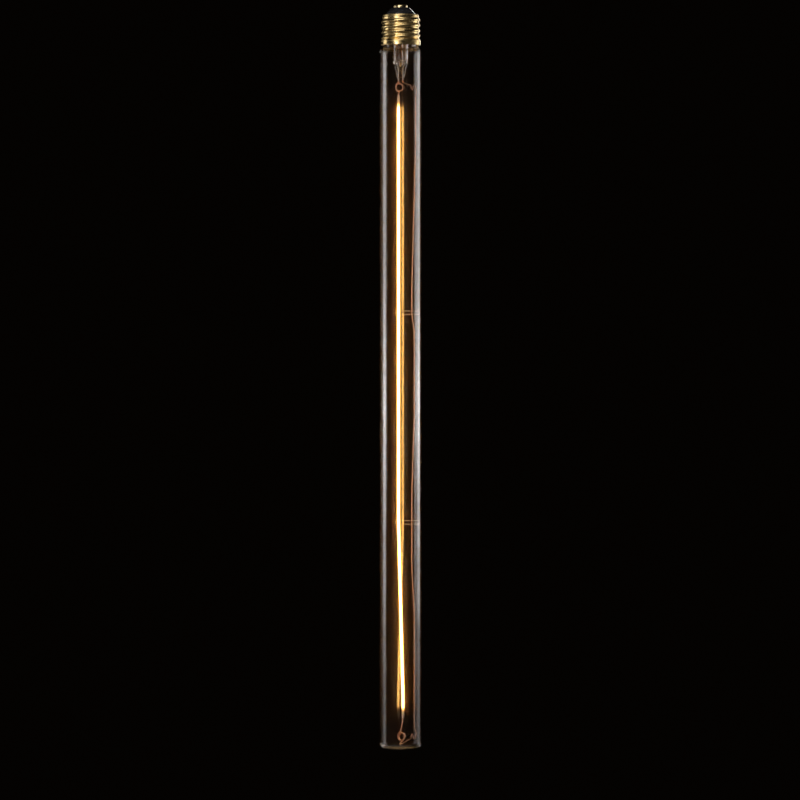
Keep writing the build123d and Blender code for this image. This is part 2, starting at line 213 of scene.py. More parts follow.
class Shading(NodeTree):
    """A material's node tree around one Principled shader."""

    def __init__(self, name: str) -> None:
        """Starts a tree with its Principled shader and output.

        Args:
            name: the material's name.
        """
        self.material = bpy.data.materials.new(name)
        self.material.use_nodes = True
        super().__init__(self.material.node_tree)
        self.tree.nodes.clear()
        self.output = self.tree.nodes.new("ShaderNodeOutputMaterial")
        self.surface = self.tree.nodes.new("ShaderNodeBsdfPrincipled")
        self.tree.links.new(self.surface.outputs["BSDF"], self.output.inputs["Surface"])

    def set(self, **values: Any) -> None:
        """Sets inputs of the Principled shader, with underscores for the spaces in their names."""
        names = {socket.name.lower().replace(" ", "_"): socket for socket in self.surface.inputs}
        for key, value in values.items():
            self.feed(names[key], value)

    def place(self, stretch: Triple = (1.0, 1.0, 1.0)) -> Socket:
        """Object coordinates, stretched along each axis.

        Args:
            stretch: scale of the pattern along X, Y and Z.

        Returns:
            The vector socket.
        """
        where = self.node("ShaderNodeTexCoord").outputs["Object"]
        return self.node("ShaderNodeMapping", {"Vector": where, "Scale": stretch}).outputs["Vector"]

    def noise(self, scale: float, detail: float = 3.0, stretch: Triple = (1.0, 1.0, 1.0)) -> Socket:
        """Noise on Object coordinates.

        Args:
            scale: patches in a metre.
            detail: octaves of finer patches.
            stretch: scale of the pattern along each axis.

        Returns:
            The factor socket.
        """
        inputs = {
            "Vector": self.place(stretch),
            "Scale": scale,
            "Detail": detail,
            "Roughness": NOISE_ROUGHNESS,
        }
        return self.node("ShaderNodeTexNoise", inputs).outputs["Fac"]

    def blend(self, factor: Socket, first: Colour, second: Colour) -> Socket:
        """Mixes two colours.

        Args:
            factor: 0 for the first colour and 1 for the second.
            first: the first colour.
            second: the second colour.

        Returns:
            The colour socket.
        """
        mixer = self.node("ShaderNodeMix", {"Factor": factor}, data_type="RGBA")
        colours = [socket for socket in mixer.inputs if socket.type == "RGBA"]
        self.feed(colours[0], first)
        self.feed(colours[1], second)
        return next(socket for socket in mixer.outputs if socket.type == "RGBA")

    def bump(self, height: Socket, strength: float, distance: float) -> None:
        """Presses a height pattern into the surface.

        Args:
            height: the pattern.
            strength: share of the bump that shows.
            distance: depth of the bump.
        """
        inputs = {"Height": height, "Strength": strength, "Distance": distance}
        self.set(normal=self.node("ShaderNodeBump", inputs).outputs["Normal"])


@dataclass(frozen=True)
class ClearGlass:
    """Drawn clear glass with fine rough specks that spread the strip's light; the specks are tinted
    amber as a painted warm glow round the strip.
    """

    name: str = "clear_glass"
    tint: Colour = (0.985, 0.99, 0.985)
    painted_glow_tint: Colour = (1.0, 0.2, 0.0)
    ior: float = 1.5
    specks: float = 9000.0
    speck_start: float = 0.64
    speck_full: float = 0.78
    speck_roughness: float = 0.5
    ripples: float = 140.0
    ripple_stretch: Triple = (1.0, 1.0, 0.06)
    ripple_depth: float = 0.0000003

    def material(self) -> bpy.types.Material:
        """Makes the glass, which lets lamp light through to what it holds."""
        shade = Shading(self.name)
        speck_field = shade.noise(self.specks, detail=0.0)
        specks = shade.ramp(speck_field, self.speck_start, self.speck_full)
        # The specks are rough, which spreads light, and tinted amber, which is painted warm glow
        # standing in for the strip's light caught in the glass.
        shade.set(
            base_color=shade.blend(specks, self.tint, self.painted_glow_tint),
            ior=self.ior,
            transmission_weight=1.0,
            roughness=shade.maths("MULTIPLY", specks, self.speck_roughness),
        )
        ripples = shade.noise(self.ripples, detail=1.0, stretch=self.ripple_stretch)
        shade.bump(ripples, 1.0, self.ripple_depth)
        clear = shade.node("ShaderNodeBsdfTransparent", {"Color": self.tint})
        shadow = shade.node("ShaderNodeLightPath").outputs["Is Shadow Ray"]
        mixed = shade.node("ShaderNodeMixShader", {"Fac": shadow})
        shade.feed(mixed.inputs[1], shade.surface.outputs["BSDF"])
        shade.feed(mixed.inputs[2], clear.outputs["BSDF"])
        shade.feed(shade.output.inputs["Surface"], mixed.outputs["Shader"])
        return shade.material


@dataclass(frozen=True)
class DrawnWire:
    """Drawn metal wire with long die marks and a little tarnish."""

    name: str
    bright: Colour
    tarnish: Colour
    patches: float = 900.0
    polish: float = 0.28
    dull: float = 0.44
    tarnish_start: float = 0.45
    tarnish_full: float = 0.72
    dull_start: float = 0.35
    dull_full: float = 0.7
    die_marks: float = 9000.0
    die_stretch: Triple = (1.0, 1.0, 0.05)
    die_strength: float = 0.35
    die_depth: float = 0.00001

    def material(self) -> bpy.types.Material:
        """Makes the wire's metal."""
        shade = Shading(self.name)
        patches = shade.noise(self.patches)
        spots = shade.ramp(patches, self.tarnish_start, self.tarnish_full)
        shade.set(
            base_color=shade.blend(spots, self.bright, self.tarnish),
            metallic=1.0,
            roughness=shade.ramp(patches, self.dull_start, self.dull_full, self.polish, self.dull),
        )
        marks = shade.noise(self.die_marks, detail=2.0, stretch=self.die_stretch)
        shade.bump(marks, self.die_strength, self.die_depth)
        return shade.material


@dataclass(frozen=True)
class LitPhosphor:
    """Yellow phosphor coat over a row of light chips, lit, with darker ends past the last chip."""

    name: str = "lit_phosphor"
    coat: Colour = (0.95, 0.72, 0.3)
    pale_coat: Colour = (0.98, 0.8, 0.42)
    glow: Colour = (1.0, 0.57, 0.15)
    end_glow: Colour = (1.0, 0.2, 0.01)
    strength: float = 20.0
    edge_start: float = 0.1
    edge_glow: float = 0.1
    chip_pitch: float = CHIP_PITCH
    chip_contrast: float = 0.4
    full_glow: float = 0.015
    end_fall: float = 3.0
    roughness: float = 0.55
    coat_patches: float = 1800.0
    glow_grain: float = 2500.0
    grain_contrast: float = 0.08
    skin_grain: float = 4000.0
    skin_strength: float = 0.4
    skin_depth: float = 0.00004

    def material(self) -> bpy.types.Material:
        """Makes the glowing coat, which reads how far along the strip each point is."""
        shade = Shading(self.name)
        along = shade.node("ShaderNodeAttribute", attribute_name="along").outputs["Fac"]
        near_end = shade.maths("MINIMUM", along, shade.maths("SUBTRACT", 1.0, along))
        share = shade.ramp(near_end, 0.0, self.full_glow)
        lit = shade.maths("POWER", share, self.end_fall)
        height = shade.node("ShaderNodeSeparateXYZ", {"Vector": shade.place()}).outputs["Z"]
        wave = shade.maths("SINE", shade.maths("MULTIPLY", height, 2 * pi / self.chip_pitch))
        chips = shade.ramp(wave, -1.0, 1.0, 1.0 - self.chip_contrast, 1.0 + self.chip_contrast)
        patches = shade.noise(self.glow_grain)
        dim = 1.0 - self.grain_contrast
        strong = 1.0 + self.grain_contrast
        grain = shade.ramp(patches, NOISE_LOW, NOISE_HIGH, dim, strong)
        across = shade.node("ShaderNodeAttribute", attribute_name="across").outputs["Fac"]
        core = shade.ramp(across, self.edge_start, 1.0, 1.0, self.edge_glow)
        texture = shade.maths("MULTIPLY", chips, grain)
        power = shade.maths("MULTIPLY", shade.maths("MULTIPLY", lit, core), texture)
        shade.set(
            base_color=shade.blend(shade.noise(self.coat_patches), self.coat, self.pale_coat),
            roughness=self.roughness,
            emission_color=shade.blend(share, self.end_glow, self.glow),
            emission_strength=shade.maths("MULTIPLY", power, self.strength),
        )
        shade.bump(shade.noise(self.skin_grain), self.skin_strength, self.skin_depth)
        return shade.material


@dataclass(frozen=True)
class RolledBrass:
    """Rolled brass sheet with dull patches and fine rings left by rolling."""

    name: str
    bright: Colour = (0.86, 0.63, 0.29)
    dull: Colour = (0.47, 0.31, 0.12)
    polish: float = 0.2
    matt: float = 0.42
    patches: float = 220.0
    dull_start: float = 0.42
    dull_full: float = 0.75
    most_dull: float = 0.8
    matt_start: float = 0.7
    matt_full: float = 1.3
    rings: float = 2600.0
    ring_stretch: Triple = (0.02, 0.02, 1.0)
    ring_strength: float = 0.3
    ring_depth: float = 0.00003

    def material(self) -> bpy.types.Material:
        """Makes the brass."""
        shade = Shading(self.name)
        patches = shade.noise(self.patches, detail=5.0)
        rings = shade.noise(self.rings, detail=2.0, stretch=self.ring_stretch)
        spots = shade.ramp(patches, self.dull_start, self.dull_full, 0.0, self.most_dull)
        wear = shade.maths("ADD", patches, rings)
        shade.set(
            base_color=shade.blend(spots, self.bright, self.dull),
            metallic=1.0,
            roughness=shade.ramp(wear, self.matt_start, self.matt_full, self.polish, self.matt),
        )
        shade.bump(rings, self.ring_strength, self.ring_depth)
        return shade.material


@dataclass(frozen=True)
class PlainSolid:
    """A moulded, painted or poured material with grain of its own."""

    name: str
    colour: Colour
    second: Colour
    patches: float
    polish: float
    matt: float
    spot_start: float = 0.35
    spot_full: float = 0.7
    grain: float = 3000.0
    grain_strength: float = 0.5
    grain_depth: float = 0.00002
    gloss_coat: float = 0.0
    coat_roughness: float = 0.08

    def material(self) -> bpy.types.Material:
        """Makes the material, with patches of the second colour."""
        shade = Shading(self.name)
        patches = shade.noise(self.patches, detail=4.0)
        spots = shade.ramp(patches, self.spot_start, self.spot_full)
        shade.set(
            base_color=shade.blend(spots, self.colour, self.second),
            roughness=shade.ramp(patches, NOISE_LOW, NOISE_HIGH, self.polish, self.matt),
            coat_weight=self.gloss_coat,
            coat_roughness=self.coat_roughness,
        )
        shade.bump(shade.noise(self.grain, detail=2.0), self.grain_strength, self.grain_depth)
        return shade.material


class Finishes:
    """Every finish of the bulb, made once and shared by its pieces."""

    def __init__(self) -> None:
        """Makes the materials, one for each slot."""
        black = PlainSolid(
            "insulator_black",
            colour=(0.012, 0.012, 0.014),
            second=(0.03, 0.03, 0.032),
            patches=300.0,
            polish=0.12,
            matt=0.3,
            gloss_coat=0.6,
        )
        cement = PlainSolid(
            "cement",
            colour=(0.55, 0.37, 0.13),
            second=(0.38, 0.24, 0.08),
            patches=500.0,
            polish=0.5,
            matt=0.8,
            grain_depth=0.0001,
        )
        board = PlainSolid(
            "board",
            colour=(0.02, 0.13, 0.05),
            second=(0.03, 0.18, 0.07),
            patches=400.0,
            polish=0.3,
            matt=0.5,
            gloss_coat=0.3,
        )
        moulded = PlainSolid(
            "component_black",
            colour=(0.02, 0.02, 0.022),
            second=(0.04, 0.04, 0.042),
            patches=800.0,
            polish=0.5,
            matt=0.7,
        )
        sleeve = PlainSolid(
            "capacitor_sleeve",
            colour=(0.012, 0.016, 0.04),
            second=(0.02, 0.026, 0.06),
            patches=300.0,
            polish=0.2,
            matt=0.35,
            gloss_coat=0.4,
        )
        ceramic = PlainSolid(
            "resistor_ceramic",
            colour=(0.2, 0.33, 0.4),
            second=(0.28, 0.4, 0.46),
            patches=600.0,
            polish=0.4,
            matt=0.6,
        )
        lead = DrawnWire("lead_metal", bright=(0.82, 0.74, 0.64), tarnish=(0.52, 0.4, 0.28))
        copper = DrawnWire("copper_wire", bright=(0.94, 0.53, 0.34), tarnish=(0.64, 0.26, 0.14))
        support = DrawnWire(
            "support_metal", bright=(0.96, 0.76, 0.5), tarnish=(0.84, 0.58, 0.34), polish=0.5, dull=0.6
        )
        tab = DrawnWire("tab_metal", bright=(0.95, 0.7, 0.52), tarnish=(0.75, 0.42, 0.26), polish=0.34)
        contact = RolledBrass("contact_brass", bright=(0.84, 0.66, 0.36), dull=(0.5, 0.37, 0.2))
        self.by_slot: dict[Slot, bpy.types.Material] = {
            Slot.GLASS: ClearGlass().material(),
            Slot.LEAD: lead.material(),
            Slot.COPPER: copper.material(),
            Slot.SUPPORT: support.material(),
            Slot.TAB: tab.material(),
            Slot.STRIP: LitPhosphor().material(),
            Slot.CAP: RolledBrass("cap_brass").material(),
            Slot.CONTACT: contact.material(),
            Slot.INSULATOR: black.material(),
            Slot.CEMENT: cement.material(),
            Slot.BOARD: board.material(),
            Slot.COMPONENT: moulded.material(),
            Slot.CAPACITOR: sleeve.material(),
            Slot.RESISTOR: ceramic.material(),
        }

    def __getitem__(self, slot: Slot) -> bpy.types.Material:
        """The material of a slot."""
        return self.by_slot[slot]


class FormTree(NodeTree):
    """A geometry node tree with named inputs for its sizes."""

    def __init__(self, name: str) -> None:
        """Starts a tree that takes a start mesh and gives a finished one.

        Args:
            name: the tree's name.
        """
        super().__init__(bpy.data.node_groups.new(name, "GeometryNodeTree"))
        self.tree.is_modifier = True
        for way in ("INPUT", "OUTPUT"):
            self.tree.interface.new_socket("Geometry", in_out=way, socket_type="NodeSocketGeometry")
        self.inlet = self.node("NodeGroupInput")
        self.outlet = self.node("NodeGroupOutput")

    def size(self, name: str, kind: str = "NodeSocketFloat") -> Socket:
        """Adds a named input.

        Args:
            name: the input's name.
            kind: the input's socket type.

        Returns:
            The socket inside the tree.
        """
        self.tree.interface.new_socket(name, in_out="INPUT", socket_type=kind)
        return self.inlet.outputs[name]

    def attribute(self, name: str) -> Socket:
        """A number stored on the points of the start mesh."""
        made = self.node("GeometryNodeInputNamedAttribute", {"Name": name}, data_type="FLOAT")
        return made.outputs["Attribute"]

    def bent_route(self, chords: Any) -> Socket:
        """The start mesh's chain of edges as a curve, with each corner rounded by its own bend.

        Args:
            chords: chords in each bend.

        Returns:
            The curve socket.
        """
        route = self.node("GeometryNodeMeshToCurve", {"Mesh": self.inlet.outputs["Geometry"]})
        inputs = {
            "Curve": route.outputs["Curve"],
            "Count": chords,
            "Radius": self.attribute("bend"),
            "Limit Radius": True,
        }
        return self.node("GeometryNodeFilletCurve", inputs, mode="POLY").outputs["Curve"]

    def finish(self, shape: Socket) -> None:
        """Ends the tree: smooth, realised and in the material that its input names.

        Args:
            shape: the finished geometry.
        """
        material = self.size("Material", "NodeSocketMaterial")
        smooth = self.node("GeometryNodeSetShadeSmooth", {"Geometry": shape}).outputs["Geometry"]
        real = self.node("GeometryNodeRealizeInstances", {"Geometry": smooth}).outputs["Geometry"]
        dressed = self.node("GeometryNodeSetMaterial", {"Geometry": real, "Material": material})
        self.feed(self.outlet.inputs["Geometry"], dressed.outputs["Geometry"])

    def run(self, name: str, start: bpy.types.Mesh, sizes: dict[str, Any]) -> bpy.types.Object:
        """Runs the tree on a start mesh and keeps the result as a plain mesh.

        Args:
            name: the new object's name.
            start: the mesh that the tree works on.
            sizes: values for the tree's inputs, by name.

        Returns:
            The finished object.
        """
        made = new_object(name, start)
        modifier = made.modifiers.new("form", "NODES")
        modifier.node_group = self.tree
        sockets = [item for item in self.tree.interface.items_tree if item.in_out == "INPUT"]
        known = {item.name: item.identifier for item in sockets}
        for key, value in sizes.items():
            modifier[known[key]] = value
        graph = bpy.context.evaluated_depsgraph_get()
        result = bpy.data.meshes.new_from_object(made.evaluated_get(graph))
        made.modifiers.clear()
        made.data = result
        result.name = name
        result.set_sharp_from_angle(angle=FORMED_SHARP_ANGLE)
        return made


class WireTree(FormTree):
    """Round wire along a route of runs and bends."""

    def __init__(self) -> None:
        """Builds the tree."""
        super().__init__("round_wire")
        radius = self.size("Radius")
        sides = self.size("Sides", "NodeSocketInt")
        chords = self.size("Chords", "NodeSocketInt")
        section = self.node("GeometryNodeCurvePrimitiveCircle", {"Resolution": sides, "Radius": radius})
        inputs = {
            "Curve": self.bent_route(chords),
            "Profile Curve": section.outputs["Curve"],
            "Fill Caps": True,
        }
        self.finish(self.node("GeometryNodeCurveToMesh", inputs).outputs["Mesh"])


class StripTree(FormTree):
    """Oval strip along a route, with narrowed ends and a small swell over each chip.

    Its points keep how far along the route and how far across the strip they are.
    """

    chords = 24
    sides = 20

    def __init__(self) -> None:
        """Builds the tree."""
        super().__init__("lit_strip")
        width = self.size("Width")
        flatness = self.size("Flatness")
        step = self.size("Step")
        chip_pitch = self.size("Chip pitch")
        swell = self.size("Swell")
        taper = self.size("Taper")
        tip = self.size("Tip")
        route = self.bent_route(self.chords)
        even = self.node(
            "GeometryNodeResampleCurve", {"Curve": route, "Length": step}, mode="LENGTH"
        ).outputs["Curve"]
        where = self.node("GeometryNodeSplineParameter")
        marked = self.node(
            "GeometryNodeStoreNamedAttribute",
            {"Geometry": even, "Name": "along", "Value": where.outputs["Factor"]},
            data_type="FLOAT",
            domain="POINT",
        ).outputs["Geometry"]
        whole = self.node("GeometryNodeCurveLength", {"Curve": even}).outputs["Length"]
        rest = self.maths("SUBTRACT", whole, where.outputs["Length"])
        near_end = self.maths("MINIMUM", where.outputs["Length"], rest)
        ends = self.ramp(near_end, 0.0, taper, tip, 1.0)
        chip = self.maths("DIVIDE", where.outputs["Length"], chip_pitch)
        turn = self.maths("MULTIPLY", chip, 2 * pi)
        chips = self.maths("ADD", 1.0, self.maths("MULTIPLY", swell, self.maths("SINE", turn)))
        narrow = self.maths("SUBTRACT", 1.0, swell)
        scale = self.maths("MULTIPLY", ends, self.maths("MULTIPLY", chips, narrow))
        half = self.maths("MULTIPLY", width, 0.5)
        form = {"Resolution": self.sides, "Radius": half}
        circle = self.node("GeometryNodeCurvePrimitiveCircle", form)
        factors = {"X": flatness, "Y": 1.0, "Z": 1.0}
        stretch = self.node("ShaderNodeCombineXYZ", factors).outputs["Vector"]
        oval = self.node(
            "GeometryNodeTransform", {"Geometry": circle.outputs["Curve"], "Scale": stretch}
        ).outputs["Geometry"]
        place = self.node("GeometryNodeInputPosition").outputs["Position"]
        sideways = self.node("ShaderNodeSeparateXYZ", {"Vector": place}).outputs["Y"]
        across = self.maths("ABSOLUTE", self.maths("DIVIDE", sideways, half))
        section = self.node(
            "GeometryNodeStoreNamedAttribute",
            {"Geometry": oval, "Name": "across", "Value": across},
            data_type="FLOAT",
            domain="POINT",
        ).outputs["Geometry"]
        level = self.node("GeometryNodeSetCurveNormal", {"Curve": marked}, mode="FREE")
        self.feed(level.inputs["Normal"], (0.0, 1.0, 0.0))
        inputs = {
            "Curve": level.outputs["Curve"],
            "Profile Curve": section,
            "Scale": scale,
            "Fill Caps": True,
        }
        self.finish(self.node("GeometryNodeCurveToMesh", inputs).outputs["Mesh"])


class ThreadTree(FormTree):
    """Screw thread rolled into a turned blank of sheet, inside and out."""

    def __init__(self) -> None:
        """Builds the tree."""
        super().__init__("rolled_thread")
        start = self.size("Start")
        pitch = self.size("Pitch")
        depth = self.size("Depth")
        root = self.size("Root radius")
        root_rise = self.size("Root rise")
        lead_in = self.size("Lead-in level")
        full = self.size("Full level")
        skin = self.attribute("skin")
        position = self.node("GeometryNodeInputPosition").outputs["Position"]
        parts = self.node("ShaderNodeSeparateXYZ", {"Vector": position}).outputs
        angle = self.maths("DIVIDE", self.maths("ARCTAN2", parts["Y"], parts["X"]), 2 * pi)
        climb = self.maths("DIVIDE", self.maths("SUBTRACT", parts["Z"], start), pitch)
        turn = self.maths("MULTIPLY", self.maths("SUBTRACT", climb, angle), 2 * pi)
        wave = self.maths("MULTIPLY_ADD", self.maths("COSINE", turn), 0.5, 0.5)
        run_in = self.ramp(parts["Z"], lead_in, full)
        rolled = self.maths("MULTIPLY", self.maths("MULTIPLY", wave, depth), run_in)
        ridge = self.maths("MAXIMUM", self.maths("SUBTRACT", rolled, root_rise), 0.0)
        level = {"X": parts["X"], "Y": parts["Y"], "Z": 0.0}
        flat = self.node("ShaderNodeCombineXYZ", level).outputs["Vector"]
        reach = self.node("ShaderNodeVectorMath", operation="LENGTH")
        self.feed(reach.inputs[0], flat)
        wanted = self.maths("SUBTRACT", self.maths("ADD", root, ridge), skin)
        push = self.maths("MAXIMUM", self.maths("SUBTRACT", wanted, reach.outputs["Value"]), 0.0)
        push = self.maths("MULTIPLY", push, self.maths("GREATER_THAN", ridge, 0.0))
        outward = self.node("ShaderNodeVectorMath", operation="NORMALIZE")
        self.feed(outward.inputs[0], flat)
        offset = self.node("ShaderNodeVectorMath", operation="SCALE")
        self.feed(offset.inputs[0], outward.outputs["Vector"])
        self.feed(offset.inputs["Scale"], push)
        inputs = {"Geometry": self.inlet.outputs["Geometry"], "Offset": offset.outputs["Vector"]}
        self.finish(self.node("GeometryNodeSetPosition", inputs).outputs["Geometry"])


class BeadTree(FormTree):
    """Small weld beads on the points where wires are joined."""

    subdivisions = 3

    def __init__(self) -> None:
        """Builds the tree."""
        super().__init__("weld_beads")
        form = {"Radius": 1.0, "Subdivisions": self.subdivisions}
        ball = self.node("GeometryNodeMeshIcoSphere", form).outputs["Mesh"]
        inputs = {
            "Points": self.inlet.outputs["Geometry"],
            "Instance": ball,
            "Scale": self.attribute("bead"),
        }
        self.finish(self.node("GeometryNodeInstanceOnPoints", inputs).outputs["Instances"])


def new_object(name: str, mesh: bpy.types.Mesh) -> bpy.types.Object:
    """Puts a mesh into the scene as an object at the origin."""
    made = bpy.data.objects.new(name, mesh)
    bpy.context.scene.collection.objects.link(made)
    return made


def mark_points(mesh: bpy.types.Mesh, name: str, values: Sequence[float]) -> None:
    """Stores a number on each point of a mesh, for a tree to read."""
    mesh.attributes.new(name, "FLOAT", "POINT").data.foreach_set("value", values)


def add_piece(piece: bpy.types.Object, slot: Slot, *nodes: str) -> None:
    """Hands a finished piece to the frame.

    Args:
        piece: the finished object.
        slot: the record's material slot; not used.
        nodes: the solids that the piece stands for.
    """
    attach(piece, ROOT_BODY)
    if nodes:
        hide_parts(*nodes)
    stands_for = ", ".join(nodes) or "joints"
    log.info("%s: %d faces, for %s", piece.name, len(piece.data.polygons), stands_for)


def add_mesh(mesh: bpy.types.Mesh, finishes: Finishes, slot: Slot, node: str) -> None:
    """Dresses a mesh and hands it to the frame as a piece of its own name.

    Args:
        mesh: the finished mesh.
        finishes: the bulb's finishes.
        slot: the record's material slot.
        node: the solid that the piece stands for.
    """
    mesh.materials.append(finishes[slot])
    add_piece(new_object(mesh.name, mesh), slot, node)


def dress_node(node: str, material: bpy.types.Material) -> None:
    """Gives a solid of the frame its finish.

    Args:
        node: the solid's name.
        material: its finish.
    """
    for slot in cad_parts[node].material_slots:
        slot.material = material
    log.info("%s: dressed in %s", node, material.name)


@dataclass(frozen=True)
class Corner:
    """A corner of a turned outline, with the radius that rounds it."""

    across: float
    up: float
    bend: float = 0.0

    @property
    def point(self) -> Vector:
        """The corner's place, across and up."""
        return Vector((self.across, self.up))


def rounded(corners: Sequence[Corner], steps: int = 8) -> list[Vector]:
    """Turns corners into outline points, with each bend drawn as an arc.

    Args:
        corners: the outline's corners, in order; the first and last have no bend.
        steps: chords in each arc.

    Returns:
        The outline's points.
    """
    points: list[Vector] = []
    for index, corner in enumerate(corners):
        if corner.bend == 0:
            points.append(corner.point)
            continue
        back = (corners[index - 1].point - corner.point).normalized()
        ahead = (corners[index + 1].point - corner.point).normalized()
        half = back.angle(ahead) / 2
        centre = corner.point + (back + ahead).normalized() * corner.bend / sin(half)
        arm = corner.point + back * corner.bend / tan(half) - centre
        turn = pi - 2 * half
        if back.x * ahead.y - back.y * ahead.x > 0:
            turn = -turn
        for step in range(steps + 1):
            points.append(centre + Matrix.Rotation(turn * step / steps, 2) @ arm)
    return points


def skin(line: Sequence[Corner], shift: float) -> list[Corner]:
    """Moves a middle line sideways, to its right, with its bends kept concentric.

    Args:
        line: the middle line's corners.
        shift: how far it moves.

    Returns:
        The moved corners.
    """
    runs = [(after.point - before.point).normalized() for before, after in zip(line, line[1:])]
    moved: list[Corner] = []
    for index, corner in enumerate(line):
        first = runs[max(index - 1, 0)]
        second = runs[min(index, len(runs) - 1)]
        right = Vector((first.y + second.y, -first.x - second.x)) / (1 + first.dot(second))
        place = corner.point + right * shift
        turn = first.x * second.y - first.y * second.x
        bend = corner.bend + (shift if turn > 0 else -shift) if corner.bend else 0.0
        moved.append(Corner(place.x, place.y, bend))
    return moved


def curved(
    start: Vector, first: Vector, second: Vector, finish: Vector, steps: int = 16
) -> list[Vector]:
    """Points of a cubic curve.

    Args:
        start: its first point.
        first: its first handle.
        second: its second handle.
        finish: its last point.
        steps: chords in the curve.

    Returns:
        The curve's points, both ends among them.
    """
    points: list[Vector] = []
    for step in range(steps + 1):
        t = step / steps
        u = 1 - t
        points.append(u**3 * start + 3 * u * u * t * first + 3 * u * t * t * second + t**3 * finish)
    return points


def divided(points: Sequence[Vector], longest: float) -> list[Vector]:
    """Splits an outline's long chords.

    Args:
        points: the outline's points.
        longest: the longest chord that stays.

    Returns:
        The outline with the new points among the old.
    """
    result: list[Vector] = [points[0]]
    for before, after in zip(points, points[1:]):
        pieces = int((after - before).length / longest) + 1
        result.extend(before.lerp(after, step / pieces) for step in range(1, pieces + 1))
    return result


def ringed(name: str, rings: Sequence[Ring], segments: int, closed: bool) -> bpy.types.Mesh:
    """Joins level rings, round or oval, into one closed surface.

    Args:
        name: the mesh's name.
        rings: half width along X, half width along Y and height of each ring; zero widths make a pole.
        segments: points in each ring.
        closed: whether the last ring joins the first.

    Returns:
        The mesh, with its faces outwards.
    """
    made = bmesh.new()
    loops: list[list[bmesh.types.BMVert]] = []
    for width, depth, height in rings:
        turns = [2 * pi * index / segments for index in range(segments if width > 0 else 1)]
        loops.append([made.verts.new((width * cos(turn), depth * sin(turn), height)) for turn in turns])
    pairs = list(zip(loops, loops[1:]))
    if closed:
        pairs.append((loops[-1], loops[0]))
    for low, high in pairs:
        for index in range(segments):
            after = (index + 1) % segments
            corners = [low[index % len(low)], low[after % len(low)]]
            corners += [high[after % len(high)], high[index % len(high)]]
            made.faces.new(list(dict.fromkeys(corners)))
    bmesh.ops.recalc_face_normals(made, faces=made.faces)
    mesh = bpy.data.meshes.new(name)
    made.to_mesh(mesh)
    made.free()
    mesh.shade_smooth()
    mesh.set_sharp_from_angle(angle=TURNED_SHARP_ANGLE)
    return mesh


def turned(name: str, outline: Sequence[Vector], closed: bool, segments: int = 128) -> bpy.types.Mesh:
    """Revolves an outline round Z.

    Args:
        name: the mesh's name.
        outline: points across and up; a point on the axis makes a pole.
        closed: whether the outline is a loop that stays off the axis.
        segments: points in each ring.

    Returns:
        The mesh.
    """
    return ringed(name, [(point.x, point.x, point.y) for point in outline], segments, closed)


def standing(origin: Vector, axis: Vector) -> Matrix:
    """Frame at an origin whose Z is a level axis and whose X is up."""
    return Matrix.Translation(origin) @ Matrix((UP, axis.cross(UP), axis)).transposed().to_4x4()


@dataclass
class GlassTube:
    """The clear tube: neck, shoulder, long body and flat closed end, with a bead for the anchor."""

    levels: Levels
    finishes: Finishes
    wall: float = 1.0 * MM
    neck_radius: float = NECK_RADIUS
    shoulder: float = 4.6 * MM
    floor: float = 2.0 * MM
    end_corner: float = 3.4 * MM
    floor_corner: float = 1.8 * MM
    bead_radius: float = 1.5 * MM
    bead_top_radius: float = 1.1 * MM
    bead_rise: float = 2.8 * MM
    bead_bend: float = 0.7 * MM
    bead_foot_bend: float = 0.5 * MM

    def side(self, inset: float) -> list[Vector]:
        """Outline of one skin of the neck and shoulder, from the top down.

        Args:
            inset: depth of the skin under the outside.

        Returns:
            The outline's points.
        """
        throat = self.neck_radius - inset
        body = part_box("glass_tube")[1].x - inset
        top = self.levels.rim - inset
        bottom = top - self.shoulder
        middle = (top + bottom) / 2
        slope = curved(
            Vector((throat, top)),
            Vector((throat, middle)),
            Vector((body, middle)),
            Vector((body, bottom)),
        )
        return [Vector((throat, self.levels.neck)), *slope]

    def outline(self) -> list[Vector]:
        """Outline from the end's middle up the outside, over the neck and down inside to the bead."""
        outside = self.side(0.0)
        inside = self.side(self.wall)
        radius = outside[-1].x
        bore = inside[-1].x
        floor = self.levels.end + self.floor
        bead_top = self.levels.end + self.bead_rise
        outer_end = rounded(
            [
                Corner(0.0, self.levels.end),
                Corner(radius, self.levels.end, self.end_corner),
                Corner(radius, outside[-1].y),
            ]
        )
        inner_end = rounded(
            [
                Corner(bore, inside[-1].y),
                Corner(bore, floor, self.floor_corner),
                Corner(self.bead_radius, floor, self.bead_foot_bend),
                Corner(self.bead_top_radius, bead_top, self.bead_bend),
                Corner(0.0, bead_top),
            ]
        )
        return [*outer_end[:-1], *reversed(outside), *inside, *inner_end[1:]]

    def build(self) -> None:
        """Builds and dresses the tube."""
        mesh = turned("clear_tube", self.outline(), closed=False)
        add_mesh(mesh, self.finishes, Slot.GLASS, "glass_tube")


